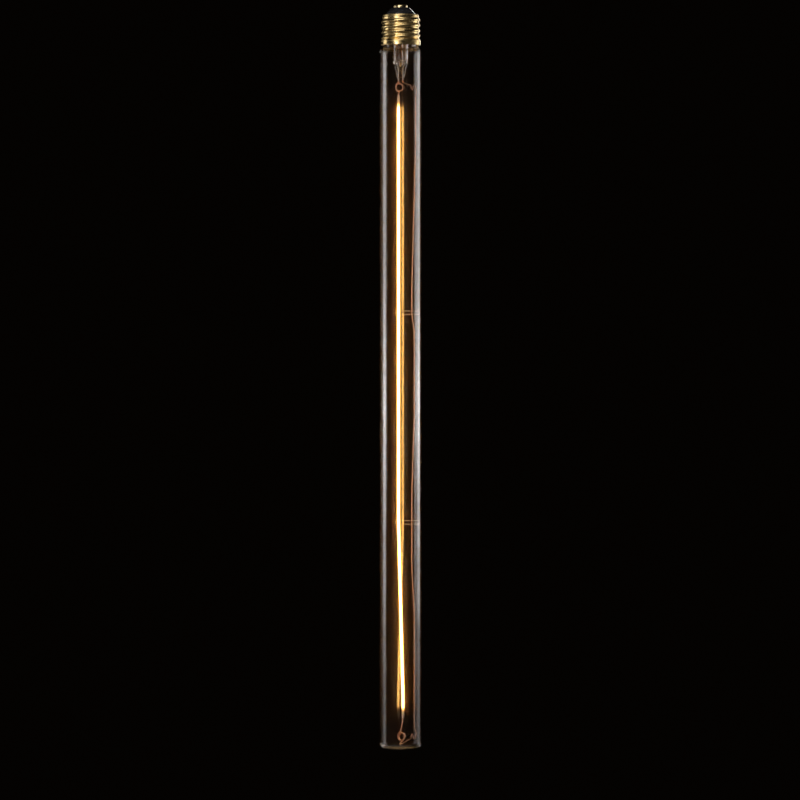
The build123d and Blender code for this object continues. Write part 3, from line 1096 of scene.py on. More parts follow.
@dataclass
class GlassStem:
    """The flare, stem tube and flat pinch as one glass, with the sealed exhaust tube standing in it."""

    levels: Levels
    finishes: Finishes
    neck_radius: float = NECK_RADIUS
    shelf_radius: float = 9.4 * MM
    wall: float = 0.9 * MM
    tube_radius: float = 5.3 * MM
    flare_depth: float = 8.5 * MM
    flare_bend: float = 0.9 * MM
    pinch_drop: float = PINCH_DROP
    press_drop: float = PRESS_DROP
    pinch_width: float = 7.8 * MM
    pinch_tip_width: float = 5.8 * MM
    pinch_thickness: float = 3.6 * MM
    tip_round: float = 0.7 * MM
    press_mark: float = 0.3 * MM
    press_pitch: float = 1.9 * MM
    edge_mark_rate: float = 0.7
    edge_mark_phase: float = 1.0
    tip_rings: int = 6
    press_rings: int = 40
    spread_rings: int = 12
    foot_bend: float = 0.6 * MM
    exhaust_radius: float = 1.9 * MM
    exhaust_bore: float = 1.1 * MM
    exhaust_foot: float = 2.2 * MM
    seal_handle: float = 0.8 * MM
    segments: int = 64

    @property
    def pinch_top(self) -> float:
        """Height where the stem tube starts to flatten."""
        return self.levels.rim - self.pinch_drop

    def pinch(self) -> list[Ring]:
        """Rings of the pinch, from its rounded tip up to the stem tube."""
        tip = self.levels.pinch_end
        press = self.pinch_top - self.press_drop
        rings: list[Ring] = [(0.0, 0.0, tip)]
        for step in range(self.tip_rings + 1):
            turn = pi / 2 * step / self.tip_rings
            inset = self.tip_round * (1 - sin(turn))
            height = tip + self.tip_round * (1 - cos(turn))
            rings.append((self.pinch_tip_width / 2 - inset, self.pinch_thickness / 2 - inset, height))
        start = tip + self.tip_round
        for step in range(1, self.press_rings + 1):
            share = step / self.press_rings
            height = start + (press - start) * share
            fade = sin(pi * share)
            turn = 2 * pi * (height - start) / self.press_pitch
            wide = self.pinch_tip_width * (1 - share) + self.pinch_width * share
            edge_turn = turn * self.edge_mark_rate + self.edge_mark_phase
            width = wide / 2 - self.press_mark * fade * (0.5 + 0.5 * sin(edge_turn))
            depth = self.pinch_thickness / 2 - self.press_mark * fade * (1 + cos(turn))
            rings.append((width, depth, height))
        for step in range(1, self.spread_rings + 1):
            share = step / self.spread_rings
            ease = share * share * (3 - 2 * share)
            width = self.pinch_width / 2 * (1 - ease) + self.tube_radius * ease
            depth = self.pinch_thickness / 2 * (1 - ease) + self.tube_radius * ease
            rings.append((width, depth, press + self.press_drop * share))
        return rings

    def skins(self) -> list[Vector]:
        """Outline above the pinch: up the flare, over its rim, down inside and up the exhaust tube."""
        tube_middle = self.tube_radius - self.wall / 2
        rim = self.levels.neck + self.wall / 2
        middle = [
            Corner(tube_middle, self.pinch_top),
            Corner(tube_middle, self.levels.neck - self.flare_depth, self.flare_bend),
            Corner(self.shelf_radius, rim, self.flare_bend),
            Corner(self.neck_radius, rim),
        ]
        outside = skin(middle, self.wall / 2)
        inside = skin(middle, -self.wall / 2)
        tip = self.levels.exhaust_tip
        seal = Vector((self.exhaust_radius, tip - self.exhaust_radius * 2))
        down = [
            *reversed(inside[1:]),
            Corner(inside[0].across, self.pinch_top, self.foot_bend),
            Corner(self.exhaust_radius, self.pinch_top, self.foot_bend),
            Corner(seal.x, seal.y),
        ]
        end = Vector((0.0, tip))
        above_seal = seal + UP.xz * self.exhaust_radius
        beside_end = end + Vector((self.seal_handle, 0.0))
        closing = curved(seal, above_seal, beside_end, end)
        return [*rounded(outside), *rounded(down), *closing[1:]]

    def bore(self) -> list[Vector]:
        """Outline of the hollow in the exhaust tube."""
        low = self.pinch_top - self.exhaust_foot
        high = self.levels.exhaust_tip - self.exhaust_radius * 2
        return rounded(
            [
                Corner(0.0, low),
                Corner(self.exhaust_bore, low, self.exhaust_bore / 2),
                Corner(self.exhaust_bore, high, self.exhaust_bore / 2),
                Corner(0.0, high),
            ]
        )

    def build(self) -> None:
        """Builds the stem with its hollow and dresses it."""
        rings = self.pinch() + [(point.x, point.x, point.y) for point in self.skins()[1:]]
        mesh = ringed("stem_and_pinch", rings, self.segments, closed=False)
        hollow = turned("exhaust_hollow", self.bore(), closed=False, segments=self.segments)
        hollow.flip_normals()
        joined = bmesh.new()
        joined.from_mesh(mesh)
        joined.from_mesh(hollow)
        joined.to_mesh(mesh)
        joined.free()
        bpy.data.meshes.remove(hollow)
        add_mesh(mesh, self.finishes, Slot.GLASS, "glass_stem")


@dataclass
class WirePath:
    """A bent wire's route: straight runs through its corners, each rounded by its own bend."""

    points: list[Vector]
    bends: list[float]

    def mesh(self, name: str) -> bpy.types.Mesh:
        """The route as a chain of edges that carries its bends.

        Args:
            name: the mesh's name.

        Returns:
            The start mesh for a tree.
        """
        chain = bpy.data.meshes.new(name)
        edges = [(index, index + 1) for index in range(len(self.points) - 1)]
        chain.from_pydata(self.points, edges, [])
        mark_points(chain, "bend", [0.0, *self.bends, 0.0])
        return chain


@dataclass
class WireWork:
    """Leads, looped springs, coiled arms, return wire and supports: all the bent wire in the bulb."""

    levels: Levels
    finishes: Finishes
    tree: WireTree
    lead_wire: float = 0.7 * MM
    lead_spread: float = 2.8 * MM
    lead_stem_spread: float = 6.4 * MM
    lead_bend: float = 1.0 * MM
    lead_terminal: float = 3.2 * MM
    pinch_drop: float = PINCH_DROP
    press_drop: float = PRESS_DROP
    spring_wire: float = 0.7 * MM
    spring_bend: float = 0.45 * MM
    spring_stub: float = 0.8 * MM
    loop_radius: float = 2.4 * MM
    loop_stand: float = 0.7 * MM
    loop_pitch: float = 1.05 * MM
    loop_start: float = -45.0
    top_loop_drop: float = 4.2 * MM
    top_loop_x: float = -0.8 * MM
    top_loop_yaw: float = 0.0
    top_loop_turns: int = 1
    bottom_loop_drop: float = 18.1 * MM
    bottom_loop_x: float = 0.7 * MM
    bottom_loop_yaw: float = 30.0
    bottom_loop_turns: int = 2
    crimp_reach: float = 3.9 * MM
    crimp_run: float = 2.35 * MM
    strip_top_x: float = STRIP_TOP_X
    strip_bottom_x: float = STRIP_BOTTOM_X
    anchor_rise: float = 1.6 * MM
    anchor_run: float = 2.45 * MM
    weld_rise: float = 3.2 * MM
    arm_wire: float = 0.5 * MM
    arm_bend: float = 0.4 * MM
    arm_coil_radius: float = 1.8 * MM
    arm_coil_pitch: float = 2.8 * MM
    arm_coil_x: float = 6.0 * MM
    arm_coil_turns: int = 2
    upper_arm_start: float = -45.0
    lower_arm_start: float = 225.0
    coil_roundness: float = 0.96
    return_wire: float = 0.7 * MM
    return_y: float = 1.1 * MM
    return_top_x: float = 10.2 * MM
    return_support_x: float = 7.6 * MM
    return_span_x: float = 9.2 * MM
    return_bend: float = 36.0 * MM
    return_run: float = 30.0 * MM
    return_kink: float = 9.0 * MM
    support_wire: float = 0.4 * MM
    support_height: float = 2.4 * MM
    support_left_x: float = -3.5 * MM
    support_wall_x: float = 12.7 * MM
    support_bend: float = 1.1 * MM
    weld_bead: float = 0.46 * MM
    support_bead: float = 0.42 * MM
    wire_sides: int = 20
    bend_chords: int = 10

    @property
    def top_loop(self) -> float:
        """Height of the upper loop's middle."""
        return self.levels.lead_end - self.top_loop_drop

    @property
    def bottom_loop(self) -> float:
        """Height of the lower loop's middle."""
        return self.levels.strip_end - self.bottom_loop_drop

    @property
    def weld(self) -> Vector:
        """Where the lower arm is welded to the anchor wire."""
        return Vector((self.spring_wire / 2, 0.0, self.levels.end + self.weld_rise))

    @property
    def return_ends(self) -> tuple[Vector, Vector]:
        """Upper and lower end of the return wire."""
        upper = Vector((self.return_top_x, self.return_y, self.levels.return_top))
        return upper, Vector((self.return_span_x, self.return_y, self.levels.return_end))

    def wire(self, name: str, path: WirePath, diameter: float, slot: Slot, node: str) -> None:
        """Makes one wire that stands for its solid.

        Args:
            name: the piece's name.
            path: its route.
            diameter: its thickness.
            slot: its material slot.
            node: the solid that it stands for.
        """
        sizes = {
            "Radius": diameter / 2,
            "Sides": self.wire_sides,
            "Chords": self.bend_chords,
            "Material": self.finishes[slot],
        }
        add_piece(self.tree.run(name, path.mesh(name), sizes), slot, node)

    def lead(self, side: Side) -> WirePath:
        """Route of a lead wire, from the driver board down through the stem and the pinch.

        Args:
            side: the side that it is on.

        Returns:
            The route.
        """
        wide = side.value * self.lead_stem_spread / 2
        near = side.value * self.lead_spread / 2
        terminal = self.levels.lead_top - self.lead_wire / 2
        pinch_top = self.levels.rim - self.pinch_drop
        points = [
            Vector((wide, self.lead_terminal, terminal)),
            Vector((wide, 0.0, terminal)),
            Vector((wide, 0.0, pinch_top + self.lead_bend * 2)),
            Vector((near, 0.0, pinch_top - self.press_drop)),
            self.lead_end(side),
        ]
        return WirePath(points, [self.lead_bend] * 3)

    def lead_end(self, side: Side) -> Vector:
        """Lower end of a lead wire."""
        return Vector((side.value * self.lead_spread / 2, 0.0, self.levels.lead_end))

    def coil(
        self, around: Matrix, radius: float, pitch: float, angles: Sequence[float]
    ) -> list[Vector]:
        """Corners of a coil, one for each quarter turn.

        Args:
            around: frame whose Z is the coil's axis.
            radius: the coil's radius.
            pitch: travel in each turn.
            angles: angle of each corner in degrees.

        Returns:
            The corners.
        """
        reach = radius * sqrt(2)
        corners: list[Vector] = []
        for quarter, angle in enumerate(angles):
            turn = radians(angle)
            along = pitch * quarter / 4
            corners.append(around @ Vector((reach * cos(turn), reach * sin(turn), along)))
        return corners

    def spring(
        self,
        ends: tuple[Vector, Vector],
        runs: tuple[float, float],
        centre: Vector,
        turns: int,
        yaw: float,
    ) -> WirePath:
        """Route of a spring: down from its upper end, round its loop and down to its lower end.

        Args:
            ends: its upper and lower end.
            runs: straight runs at its ends.
            centre: the loop's middle.
            turns: whole turns in the loop.
            yaw: turn of the loop's axis round Z, in degrees.

        Returns:
            The route.
        """
        quarters = 4 * turns + 2
        depth = self.loop_pitch * (quarters - 1) / 4
        reach = self.loop_radius + self.loop_stand
        axis = Vector((sin(radians(yaw)), cos(radians(yaw)), 0.0))
        around = standing(centre - axis * depth / 2, axis)
        angles = [self.loop_start - 90 * quarter for quarter in range(quarters)]
        points = [
            ends[0],
            ends[0] - UP * runs[0],
            around @ Vector((reach, 0.0, 0.0)),
            *self.coil(around, self.loop_radius, self.loop_pitch, angles),
            around @ Vector((-reach, 0.0, depth)),
            ends[1] + UP * runs[1],
            ends[1],
        ]
        loop_bends = [self.loop_radius * self.coil_roundness] * quarters
        return WirePath(points, [self.spring_bend] * 2 + loop_bends + [self.spring_bend] * 2)

    def arm(
        self,
        start: Vector,
        start_run: Vector,
        finish: Vector,
        finish_run: Vector,
        first: float,
        hand: Hand,
    ) -> WirePath:
        """Route of an arm: a small coil along X from the middle out to the return wire.

        Args:
            start: the arm's inner end.
            start_run: straight run from the start.
            finish: the arm's outer end.
            finish_run: straight run from the finish.
            first: angle of the coil's first corner in degrees.
            hand: the way that it is wound.

        Returns:
            The route.
        """
        quarters = 4 * self.arm_coil_turns
        level = self.top_loop if hand is Hand.RIGHT else self.bottom_loop
        around = standing(Vector((self.arm_coil_x, 0.0, level)), Vector((1.0, 0.0, 0.0)))
        angles = [first + hand.value * 90 * quarter for quarter in range(quarters)]
        corners = self.coil(around, self.arm_coil_radius, self.arm_coil_pitch, angles)
        bends = [self.arm_coil_radius * self.coil_roundness] * quarters
        points = [start, start + start_run, *corners, finish + finish_run, finish]
        return WirePath(points, [self.arm_bend, *bends, self.arm_bend])

    def return_path(self) -> WirePath:
        """Route of the return wire, with a kink at each support."""
        upper, lower = self.return_ends
        near = self.return_support_x
        far = self.return_span_x
        high = self.levels.upper_support
        low = self.levels.lower_support
        stops = [
            (upper.x, upper.z - self.return_run),
            (near, high + self.return_kink * 2),
            (near, high - self.support_height),
            (far, high - self.support_height - self.return_kink),
            (far, (high + low) / 2),
            (near, low + self.return_kink * 2),
            (near, low - self.return_run),
            (far, low - self.return_run * 2),
        ]
        points = [upper, *[Vector((x, self.return_y, z)) for x, z in stops], lower]
        return WirePath(points, [self.return_bend] * len(stops))

    def support(self, level: float) -> WirePath:
        """Route of a support: a hairpin round the strip, out to the glass and onto the return wire.

        Args:
            level: height of its middle.

        Returns:
            The route.
        """
        upper = level + self.support_height / 2
        lower = level - self.support_height / 2
        near = self.return_support_x - self.return_wire / 2
        far = self.return_support_x + self.return_wire / 2
        points = [
            Vector((near, self.return_y, upper)),
            Vector((self.support_left_x, self.return_y, upper)),
            Vector((self.support_left_x, -self.return_y, lower)),
            Vector((self.support_wall_x, -self.return_y, lower)),
            Vector((self.support_wall_x, self.return_y, upper)),
            Vector((far, self.return_y, upper)),
        ]
        return WirePath(points, [self.support_bend] * 4)

    def build(self) -> None:
        """Builds and dresses every wire."""
        self.wire("live_lead_wire", self.lead(Side.LEFT), self.lead_wire, Slot.LEAD, "live_lead")
        self.wire("neutral_lead_wire", self.lead(Side.RIGHT), self.lead_wire, Slot.LEAD, "neutral_lead")
        strip_upper = Vector((self.strip_top_x, 0.0, self.levels.strip_top + self.crimp_reach))
        strip_lower = Vector((self.strip_bottom_x, 0.0, self.levels.strip_end - self.crimp_reach))
        anchor = Vector((0.0, 0.0, self.levels.end + self.anchor_rise))
        top_centre = Vector((self.top_loop_x, 0.0, self.top_loop))
        bottom_centre = Vector((self.bottom_loop_x, 0.0, self.bottom_loop))
        top = self.spring(
            ends=(self.lead_end(Side.LEFT), strip_upper),
            runs=(self.spring_stub, self.crimp_run),
            centre=top_centre,
            turns=self.top_loop_turns,
            yaw=self.top_loop_yaw,
        )
        bottom = self.spring(
            ends=(strip_lower, anchor),
            runs=(self.crimp_run, self.anchor_run),
            centre=bottom_centre,
            turns=self.bottom_loop_turns,
            yaw=self.bottom_loop_yaw,
        )
        self.wire("top_loop_spring", top, self.spring_wire, Slot.COPPER, "top_spring")
        self.wire("bottom_loop_spring", bottom, self.spring_wire, Slot.COPPER, "bottom_spring")
        stub = UP * self.spring_stub
        outward = Vector((self.spring_stub, 0.0, 0.0))
        upper_end, lower_end = self.return_ends
        inner = self.lead_end(Side.RIGHT)
        upper = self.arm(inner, -stub, upper_end, stub, self.upper_arm_start, Hand.RIGHT)
        lower = self.arm(self.weld, outward, lower_end, -stub, self.lower_arm_start, Hand.LEFT)
        self.wire("upper_coiled_arm", upper, self.arm_wire, Slot.COPPER, "upper_arm")
        self.wire("lower_coiled_arm", lower, self.arm_wire, Slot.COPPER, "lower_arm")
        self.wire("side_return_wire", self.return_path(), self.return_wire, Slot.COPPER, "return_wire")
        high = self.support(self.levels.upper_support)
        low = self.support(self.levels.lower_support)
        self.wire("upper_hairpin", high, self.support_wire, Slot.SUPPORT, "upper_support")
        self.wire("lower_hairpin", low, self.support_wire, Slot.SUPPORT, "lower_support")

    def build_welds(self, tree: BeadTree) -> None:
        """Puts a weld bead on each joint between wires.

        Args:
            tree: the tree that makes beads.
        """
        rise = UP * self.support_height / 2
        legs = Vector((self.return_support_x, self.return_y, 0.0))
        heights = (self.levels.upper_support, self.levels.lower_support)
        supports = [legs + UP * height + rise for height in heights]
        joints = [self.lead_end(Side.LEFT), self.lead_end(Side.RIGHT), self.weld, *self.return_ends]
        points = bpy.data.meshes.new("joints")
        points.from_pydata(joints + supports, [], [])
        sizes = [self.weld_bead] * len(joints) + [self.support_bead] * len(supports)
        mark_points(points, "bead", sizes)
        add_piece(tree.run("weld_beads", points, {"Material": self.finishes[Slot.COPPER]}), Slot.COPPER)


@dataclass
class LitStrip:
    """The long lit strip, straight to the lower support and slanting below it, and its metal ends."""

    levels: Levels
    finishes: Finishes
    tree: StripTree
    width: float = 2.2 * MM
    thickness: float = 1.5 * MM
    top_x: float = STRIP_TOP_X
    bottom_x: float = STRIP_BOTTOM_X
    end_run: float = 8.0 * MM
    bend: float = 150.0 * MM
    step: float = CHIP_PITCH / 4
    chip_pitch: float = CHIP_PITCH
    chip_swell: float = 0.03
    end_reach: float = 3.0 * MM
    end_taper: float = 6.0 * MM
    end_tip: float = 0.68

    def build(self) -> None:
        """Builds the strip and dresses its ends."""
        points = [
            Vector((self.top_x, 0.0, self.levels.strip_top + self.end_reach)),
            Vector((self.top_x, 0.0, self.levels.lower_support)),
            Vector((self.bottom_x, 0.0, self.levels.strip_end + self.end_run)),
            Vector((self.bottom_x, 0.0, self.levels.strip_end - self.end_reach)),
        ]
        sizes = {
            "Width": self.width,
            "Flatness": self.thickness / self.width,
            "Step": self.step,
            "Chip pitch": self.chip_pitch,
            "Swell": self.chip_swell,
            "Taper": self.end_taper,
            "Tip": self.end_tip,
            "Material": self.finishes[Slot.STRIP],
        }
        route = WirePath(points, [self.bend] * 2).mesh("phosphor_strip")
        add_piece(self.tree.run("phosphor_strip", route, sizes), Slot.STRIP, "filament")
        dress_node("filament_tab_top", self.finishes[Slot.TAB])
        dress_node("filament_tab_bottom", self.finishes[Slot.TAB])


@dataclass
class ScrewCap:
    """The brass screw cap with its rolled thread, the black insulator, the contact and the cement."""

    levels: Levels
    finishes: Finishes
    tree: ThreadTree
    sheet: float = 0.3 * MM
    sheet_bend: float = 0.7 * MM
    crest_radius: float = 13.1 * MM
    depth: float = 1.05 * MM
    root_rise: float = 0.08 * MM
    pitch: float = 3.629 * MM
    lead_in: float = 1.0 * MM
    run_out: float = 2.1 * MM
    collar_radius: float = 13.3 * MM
    collar_height: float = 4.4 * MM
    lip_radius: float = 10.3 * MM
    ring_step: float = 0.24 * MM
    clearance: float = 0.1 * MM
    flange: float = 1.6 * MM
    recess_radius: float = 7.4 * MM
    insulator_top_radius: float = 6.2 * MM
    insulator_bend: float = 0.8 * MM
    contact_height: float = 1.9 * MM
    contact_bend: float = 0.9 * MM
    shank_radius: float = 1.4 * MM
    segments: int = 160

    @property
    def root_radius(self) -> float:
        """Outside radius of the sheet between the thread's ridges."""
        return self.crest_radius - self.depth + self.root_rise

    def build_screw(self) -> None:
        """Turns the cap's blank and rolls the thread into it."""
        half = self.sheet / 2
        collar = self.levels.rim + self.collar_height
        middle = [
            Corner(self.lip_radius, self.levels.lip - half),
            Corner(self.root_radius - half, self.levels.lip - half, self.sheet_bend),
            Corner(self.root_radius - half, collar, self.sheet_bend),
            Corner(self.collar_radius - half, collar - self.depth, self.sheet_bend),
            Corner(self.collar_radius - half, self.levels.rim),
        ]
        outside = divided(rounded(skin(middle, -half)), self.ring_step)
        inside = divided(rounded(skin(middle, half)), self.ring_step)
        outline = [*outside, *reversed(inside)]
        blank = turned("screw_cap", outline, closed=True, segments=self.segments)
        outer_points = self.segments * len(outside)
        inner_points = self.segments * len(inside)
        mark_points(blank, "skin", [0.0] * outer_points + [self.sheet] * inner_points)
        sizes = {
            "Start": collar - self.pitch / 2,
            "Pitch": self.pitch,
            "Depth": self.depth,
            "Root radius": self.root_radius,
            "Root rise": self.root_rise,
            "Lead-in level": self.levels.lip - self.lead_in,
            "Full level": self.levels.lip - self.lead_in - self.run_out,
            "Material": self.finishes[Slot.CAP],
        }
        add_piece(self.tree.run("screw_cap", blank, sizes), Slot.CAP, "screw_shell")

    def build_insulator(self) -> None:
        """Turns the black insulator, crimped under the cap's lip."""
        lip = self.levels.lip
        bore = self.root_radius - self.sheet
        flange_level = lip - self.sheet - self.flange
        neck = self.lip_radius - self.clearance
        outline = rounded(
            [
                Corner(self.shank_radius, flange_level + self.flange / 2),
                Corner(self.shank_radius, -self.contact_height),
                Corner(self.insulator_top_radius, -self.contact_height, self.insulator_bend),
                Corner(neck, lip + self.sheet, self.insulator_bend / 4),
                Corner(neck, lip - self.sheet),
                Corner(bore - self.sheet_bend, lip - self.sheet),
                Corner(bore - self.clearance, lip - self.sheet - self.sheet_bend),
                Corner(bore - self.clearance, flange_level),
                Corner(self.recess_radius, flange_level),
            ]
        )
        mesh = turned("black_insulator", outline, closed=True)
        add_mesh(mesh, self.finishes, Slot.INSULATOR, "cap_insulator")

    def build_contact(self) -> None:
        """Turns the centre contact, a brass rivet with a flat top."""
        low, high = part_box("centre_contact")
        outline = rounded(
            [
                Corner(0.0, high.z),
                Corner(high.x, high.z, self.contact_bend),
                Corner(high.x, high.z - self.contact_height),
                Corner(self.shank_radius, high.z - self.contact_height),
                Corner(self.shank_radius, low.z),
                Corner(0.0, low.z),
            ]
        )
        mesh = turned("contact_rivet", outline, closed=False)
        add_mesh(mesh, self.finishes, Slot.CONTACT, "centre_contact")

    def build(self) -> None:
        """Builds the cap and dresses its cement."""
        self.build_screw()
        self.build_insulator()
        self.build_contact()
        dress_node("cap_cement", self.finishes[Slot.CEMENT])


@dataclass
class CapDriver:
    """The driver in the cap: its board, parts and wires, all hidden in use."""

    finishes: Finishes

    def build(self) -> None:
        """Dresses each solid of the driver."""
        parts = {
            "driver_board": Slot.BOARD,
            "bridge_rectifier": Slot.COMPONENT,
            "driver_chip": Slot.COMPONENT,
            "smoothing_capacitor": Slot.CAPACITOR,
            "fuse_resistor": Slot.RESISTOR,
            "shell_wire": Slot.LEAD,
        }
        for node, slot in parts.items():
            dress_node(node, self.finishes[slot])


@dataclass(frozen=True)
class SoftPanel:
    """A soft panel that faces the bulb's axis and glows."""

    name: str
    bearing: float
    climb: float
    distance: float
    width: float
    height: float
    level: float
    radiance: float

    def stand(self) -> Matrix:
        """Place and turn of the panel, with its back along its own Z."""
        turn = radians(self.bearing)
        rise = radians(self.climb)
        away = Vector((sin(turn) * cos(rise), -cos(turn) * cos(rise), sin(rise)))
        facing = away.to_track_quat("Z", "Y").to_matrix().to_4x4()
        return Matrix.Translation(away * self.distance + UP * self.level) @ facing

    def lamp(self, colour: Colour, flagged: Sequence[str]) -> bpy.types.Object:
        """Makes the panel as an even lamp.

        Args:
            colour: the lamp's colour.
            flagged: names of the pieces that are kept out of its light.

        Returns:
            The lamp, unseen by the camera itself.
        """
        light = bpy.data.lights.new(self.name, "AREA")
        light.shape = "RECTANGLE"
        light.size = self.width
        light.size_y = self.height
        light.color = colour
        light.energy = self.radiance * pi * self.width * self.height
        made = bpy.data.objects.new(self.name, light)
        bpy.context.scene.collection.objects.link(made)
        made.matrix_world = self.stand()
        made.visible_camera = False
        dark = bpy.data.collections.new(f"{self.name}_flags")
        for piece in flagged:
            dark.objects.link(bpy.data.objects[piece])
        for entry in dark.collection_objects:
            entry.light_linking.link_state = "EXCLUDE"
        made.light_linking.receiver_collection = dark
        return made

    def card(self, profile: Sequence[tuple[float, float]]) -> bpy.types.Object:
        """Makes the panel as a card that shows in reflections, with a brightness for each height.

        Args:
            profile: share of the card's height and of its radiance, from its lower edge upwards.

        Returns:
            The card, unseen by the camera itself and straight through the glass.
        """
        shade = Shading(self.name)
        height = shade.node("ShaderNodeSeparateXYZ", {"Vector": shade.place()}).outputs["Y"]
        up = shade.maths("ADD", shade.maths("DIVIDE", height, self.height), 0.5)
        ramp = shade.node("ShaderNodeValToRGB", {"Fac": up})
        ramp.color_ramp.interpolation = "EASE"
        stops = ramp.color_ramp.elements
        while len(stops) < len(profile):
            stops.new(1.0)
        for stop, (place, level) in zip(stops, profile):
            stop.position = place
            stop.color = (level, level, level, 1.0)
        mirrors = shade.node("ShaderNodeLightPath").outputs["Glossy Depth"]
        mirrored = shade.maths("MINIMUM", mirrors, 1.0)
        share = shade.maths("MULTIPLY", ramp.outputs["Color"], mirrored)
        shade.set(
            base_color=(0.0, 0.0, 0.0),
            specular_ior_level=0.0,
            emission_color=(1.0, 1.0, 1.0),
            emission_strength=shade.maths("MULTIPLY", share, self.radiance),
        )
        shade.material.cycles.emission_sampling = "NONE"
        wide = self.width / 2
        high = self.height / 2
        corners = [(-wide, -high, 0.0), (wide, -high, 0.0), (wide, high, 0.0), (-wide, high, 0.0)]
        mesh = bpy.data.meshes.new(self.name)
        mesh.from_pydata(corners, [], [(0, 1, 2, 3)])
        mesh.materials.append(shade.material)
        made = new_object(self.name, mesh)
        made.matrix_world = self.stand()
        made.visible_camera = False
        return made


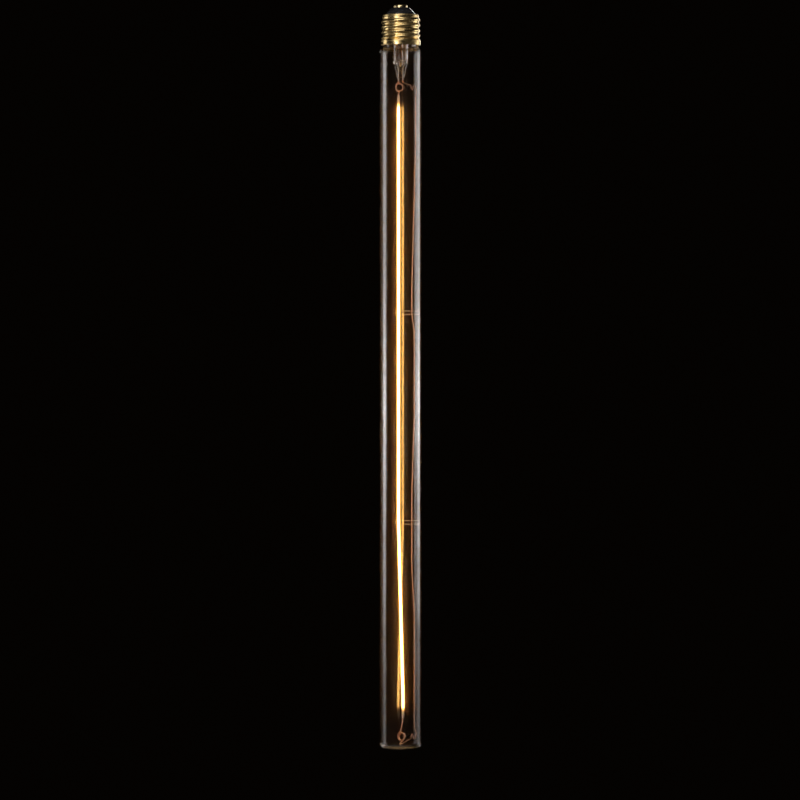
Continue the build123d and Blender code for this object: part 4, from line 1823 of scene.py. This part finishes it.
@dataclass
class Studio:
    """A dark studio: a pale floor far below, cards at the sides, three fills and the camera."""

    camera_place: Triple = (-0.0004, -3.6, -0.2657)
    lens: float = 240.8
    bounces: int = 28
    glossy_bounces: int = 12
    clear_bounces: int = 24
    floor_level: float = -2.6
    floor_radius: float = 4.0
    floor_segments: int = 96
    floor_fade_start: float = 1.2
    floor_fade_end: float = 2.4
    floor_pale: Colour = (0.78, 0.77, 0.75)
    floor_edge: Colour = (0.004, 0.004, 0.004)
    floor_patches: float = 8.0
    floor_polish: float = 0.75
    floor_matt: float = 0.9
    floor_shine: float = 0.1
    backdrop: Colour = (0.0012, 0.0008, 0.0005)
    surround: Colour = (0.02, 0.02, 0.021)
    card_distance: float = 0.75
    card_height: float = 0.955
    card_level: float = -0.21
    fill_colour: Colour = (1.0, 0.97, 0.93)
    glass: tuple[str, ...] = ("clear_tube", "stem_and_pinch")

    def side_card(self, name: str, bearing: float, width: float, radiance: float) -> SoftPanel:
        """A tall panel at the side of the bulb.

        Args:
            name: the panel's name.
            bearing: the way that it lies from the bulb, in degrees.
            width: its width.
            radiance: its brightness.

        Returns:
            The panel.
        """
        return SoftPanel(
            name,
            bearing=bearing,
            climb=0.0,
            distance=self.card_distance,
            width=width,
            height=self.card_height,
            level=self.card_level,
            radiance=radiance,
        )

    def build_lights(self) -> None:
        """Sets up the cards at the sides, and the fills above, in front and behind."""
        lower = ((0.0, 0.05), (0.16, 0.1), (0.21, 0.15), (0.255, 0.37), (0.33, 0.5), (0.38, 0.75))
        upper = ((0.435, 1.0), (0.49, 0.75), (0.56, 0.52), (0.74, 0.5), (0.85, 0.35), (1.0, 0.1))
        short = ((0.34, 0.0), (0.435, 0.7), (0.51, 0.5), (0.69, 0.4), (0.76, 0.0))
        cards = [
            (self.side_card("left_panel", bearing=-102.6, width=0.286, radiance=3.8), lower + upper),
            (self.side_card("right_panel", bearing=119.5, width=0.415, radiance=4.1), lower + upper),
            (self.side_card("inner_right_panel", bearing=99.0, width=0.137, radiance=4.1), short),
        ]
        fills = [
            SoftPanel(
                "top_fill",
                bearing=-12.0,
                climb=52.0,
                distance=1.1,
                width=0.7,
                height=0.7,
                level=-0.2,
                radiance=3.0,
            ),
            SoftPanel(
                "front_fill",
                bearing=-24.0,
                climb=4.0,
                distance=1.2,
                width=0.3,
                height=0.9,
                level=-0.25,
                radiance=6.0,
            ),
            SoftPanel(
                "back_fill",
                bearing=165.0,
                climb=8.0,
                distance=1.2,
                width=0.3,
                height=0.9,
                level=-0.25,
                radiance=4.0,
            ),
        ]
        for panel, profile in cards:
            panel.card(profile)
        for panel in fills:
            panel.lamp(self.fill_colour, self.glass)

    def build_world(self) -> None:
        """Makes the world: nearly black to the eye and in glass, dim grey as light on matt surfaces."""
        world = bpy.data.worlds.new("studio")
        bpy.context.scene.world = world
        world.use_nodes = True
        world.node_tree.nodes.clear()
        tree = NodeTree(world.node_tree)
        path = tree.node("ShaderNodeLightPath").outputs
        bounced = tree.maths("MAXIMUM", path["Is Glossy Ray"], path["Is Transmission Ray"])
        seen = tree.maths("ADD", path["Is Camera Ray"], bounced)
        seen.node.use_clamp = True
        light = tree.node("ShaderNodeBackground", {"Color": self.surround})
        dark = tree.node("ShaderNodeBackground", {"Color": self.backdrop})
        mixed = tree.node("ShaderNodeMixShader", {"Fac": seen})
        tree.feed(mixed.inputs[1], light.outputs["Background"])
        tree.feed(mixed.inputs[2], dark.outputs["Background"])
        tree.node("ShaderNodeOutputWorld", {"Surface": mixed.outputs["Shader"]})

    def build_floor(self) -> None:
        """Makes the pale floor, which fades to the dark of the studio away from the bulb."""
        shade = Shading("studio_floor")
        parts = shade.node("ShaderNodeSeparateXYZ", {"Vector": shade.place()}).outputs
        squares = [shade.maths("POWER", parts[axis], 2.0) for axis in ("X", "Y")]
        reach = shade.maths("SQRT", shade.maths("ADD", squares[0], squares[1]))
        fade = shade.ramp(reach, self.floor_fade_start, self.floor_fade_end)
        patches = shade.noise(self.floor_patches)
        shade.set(
            base_color=shade.blend(fade, self.floor_pale, self.floor_edge),
            roughness=shade.ramp(patches, NOISE_LOW, NOISE_HIGH, self.floor_polish, self.floor_matt),
            specular_ior_level=self.floor_shine,
        )
        mesh = bpy.data.meshes.new("studio_floor")
        disc = bmesh.new()
        bmesh.ops.create_circle(
            disc, cap_ends=True, radius=self.floor_radius, segments=self.floor_segments
        )
        disc.to_mesh(mesh)
        disc.free()
        mesh.transform(Matrix.Translation(UP * self.floor_level))
        mesh.materials.append(shade.material)
        new_object("studio_floor", mesh)

    def build(self) -> None:
        """Builds the studio and points the camera straight at the bulb."""
        scene = bpy.context.scene
        scene.view_settings.view_transform = "Standard"
        scene.cycles.max_bounces = self.bounces
        scene.cycles.transmission_bounces = self.bounces
        scene.cycles.glossy_bounces = self.glossy_bounces
        scene.cycles.transparent_max_bounces = self.clear_bounces
        self.build_world()
        self.build_floor()
        self.build_lights()
        camera = bpy.data.objects.new("camera", bpy.data.cameras.new("camera"))
        scene.collection.objects.link(camera)
        camera.data.lens = self.lens
        camera.location = self.camera_place
        camera.rotation_euler = (radians(90), 0.0, 0.0)
        scene.camera = camera


def main() -> None:
    """Builds the bulb and its studio."""
    logging.basicConfig(level=logging.INFO, format="%(message)s")
    levels = Levels.read()
    finishes = Finishes()
    GlassTube(levels, finishes).build()
    GlassStem(levels, finishes).build()
    wires = WireWork(levels, finishes, WireTree())
    wires.build()
    wires.build_welds(BeadTree())
    LitStrip(levels, finishes, StripTree()).build()
    ScrewCap(levels, finishes, ThreadTree()).build()
    CapDriver(finishes).build()
    Studio().build()


if __name__ == "__main__":
    main()
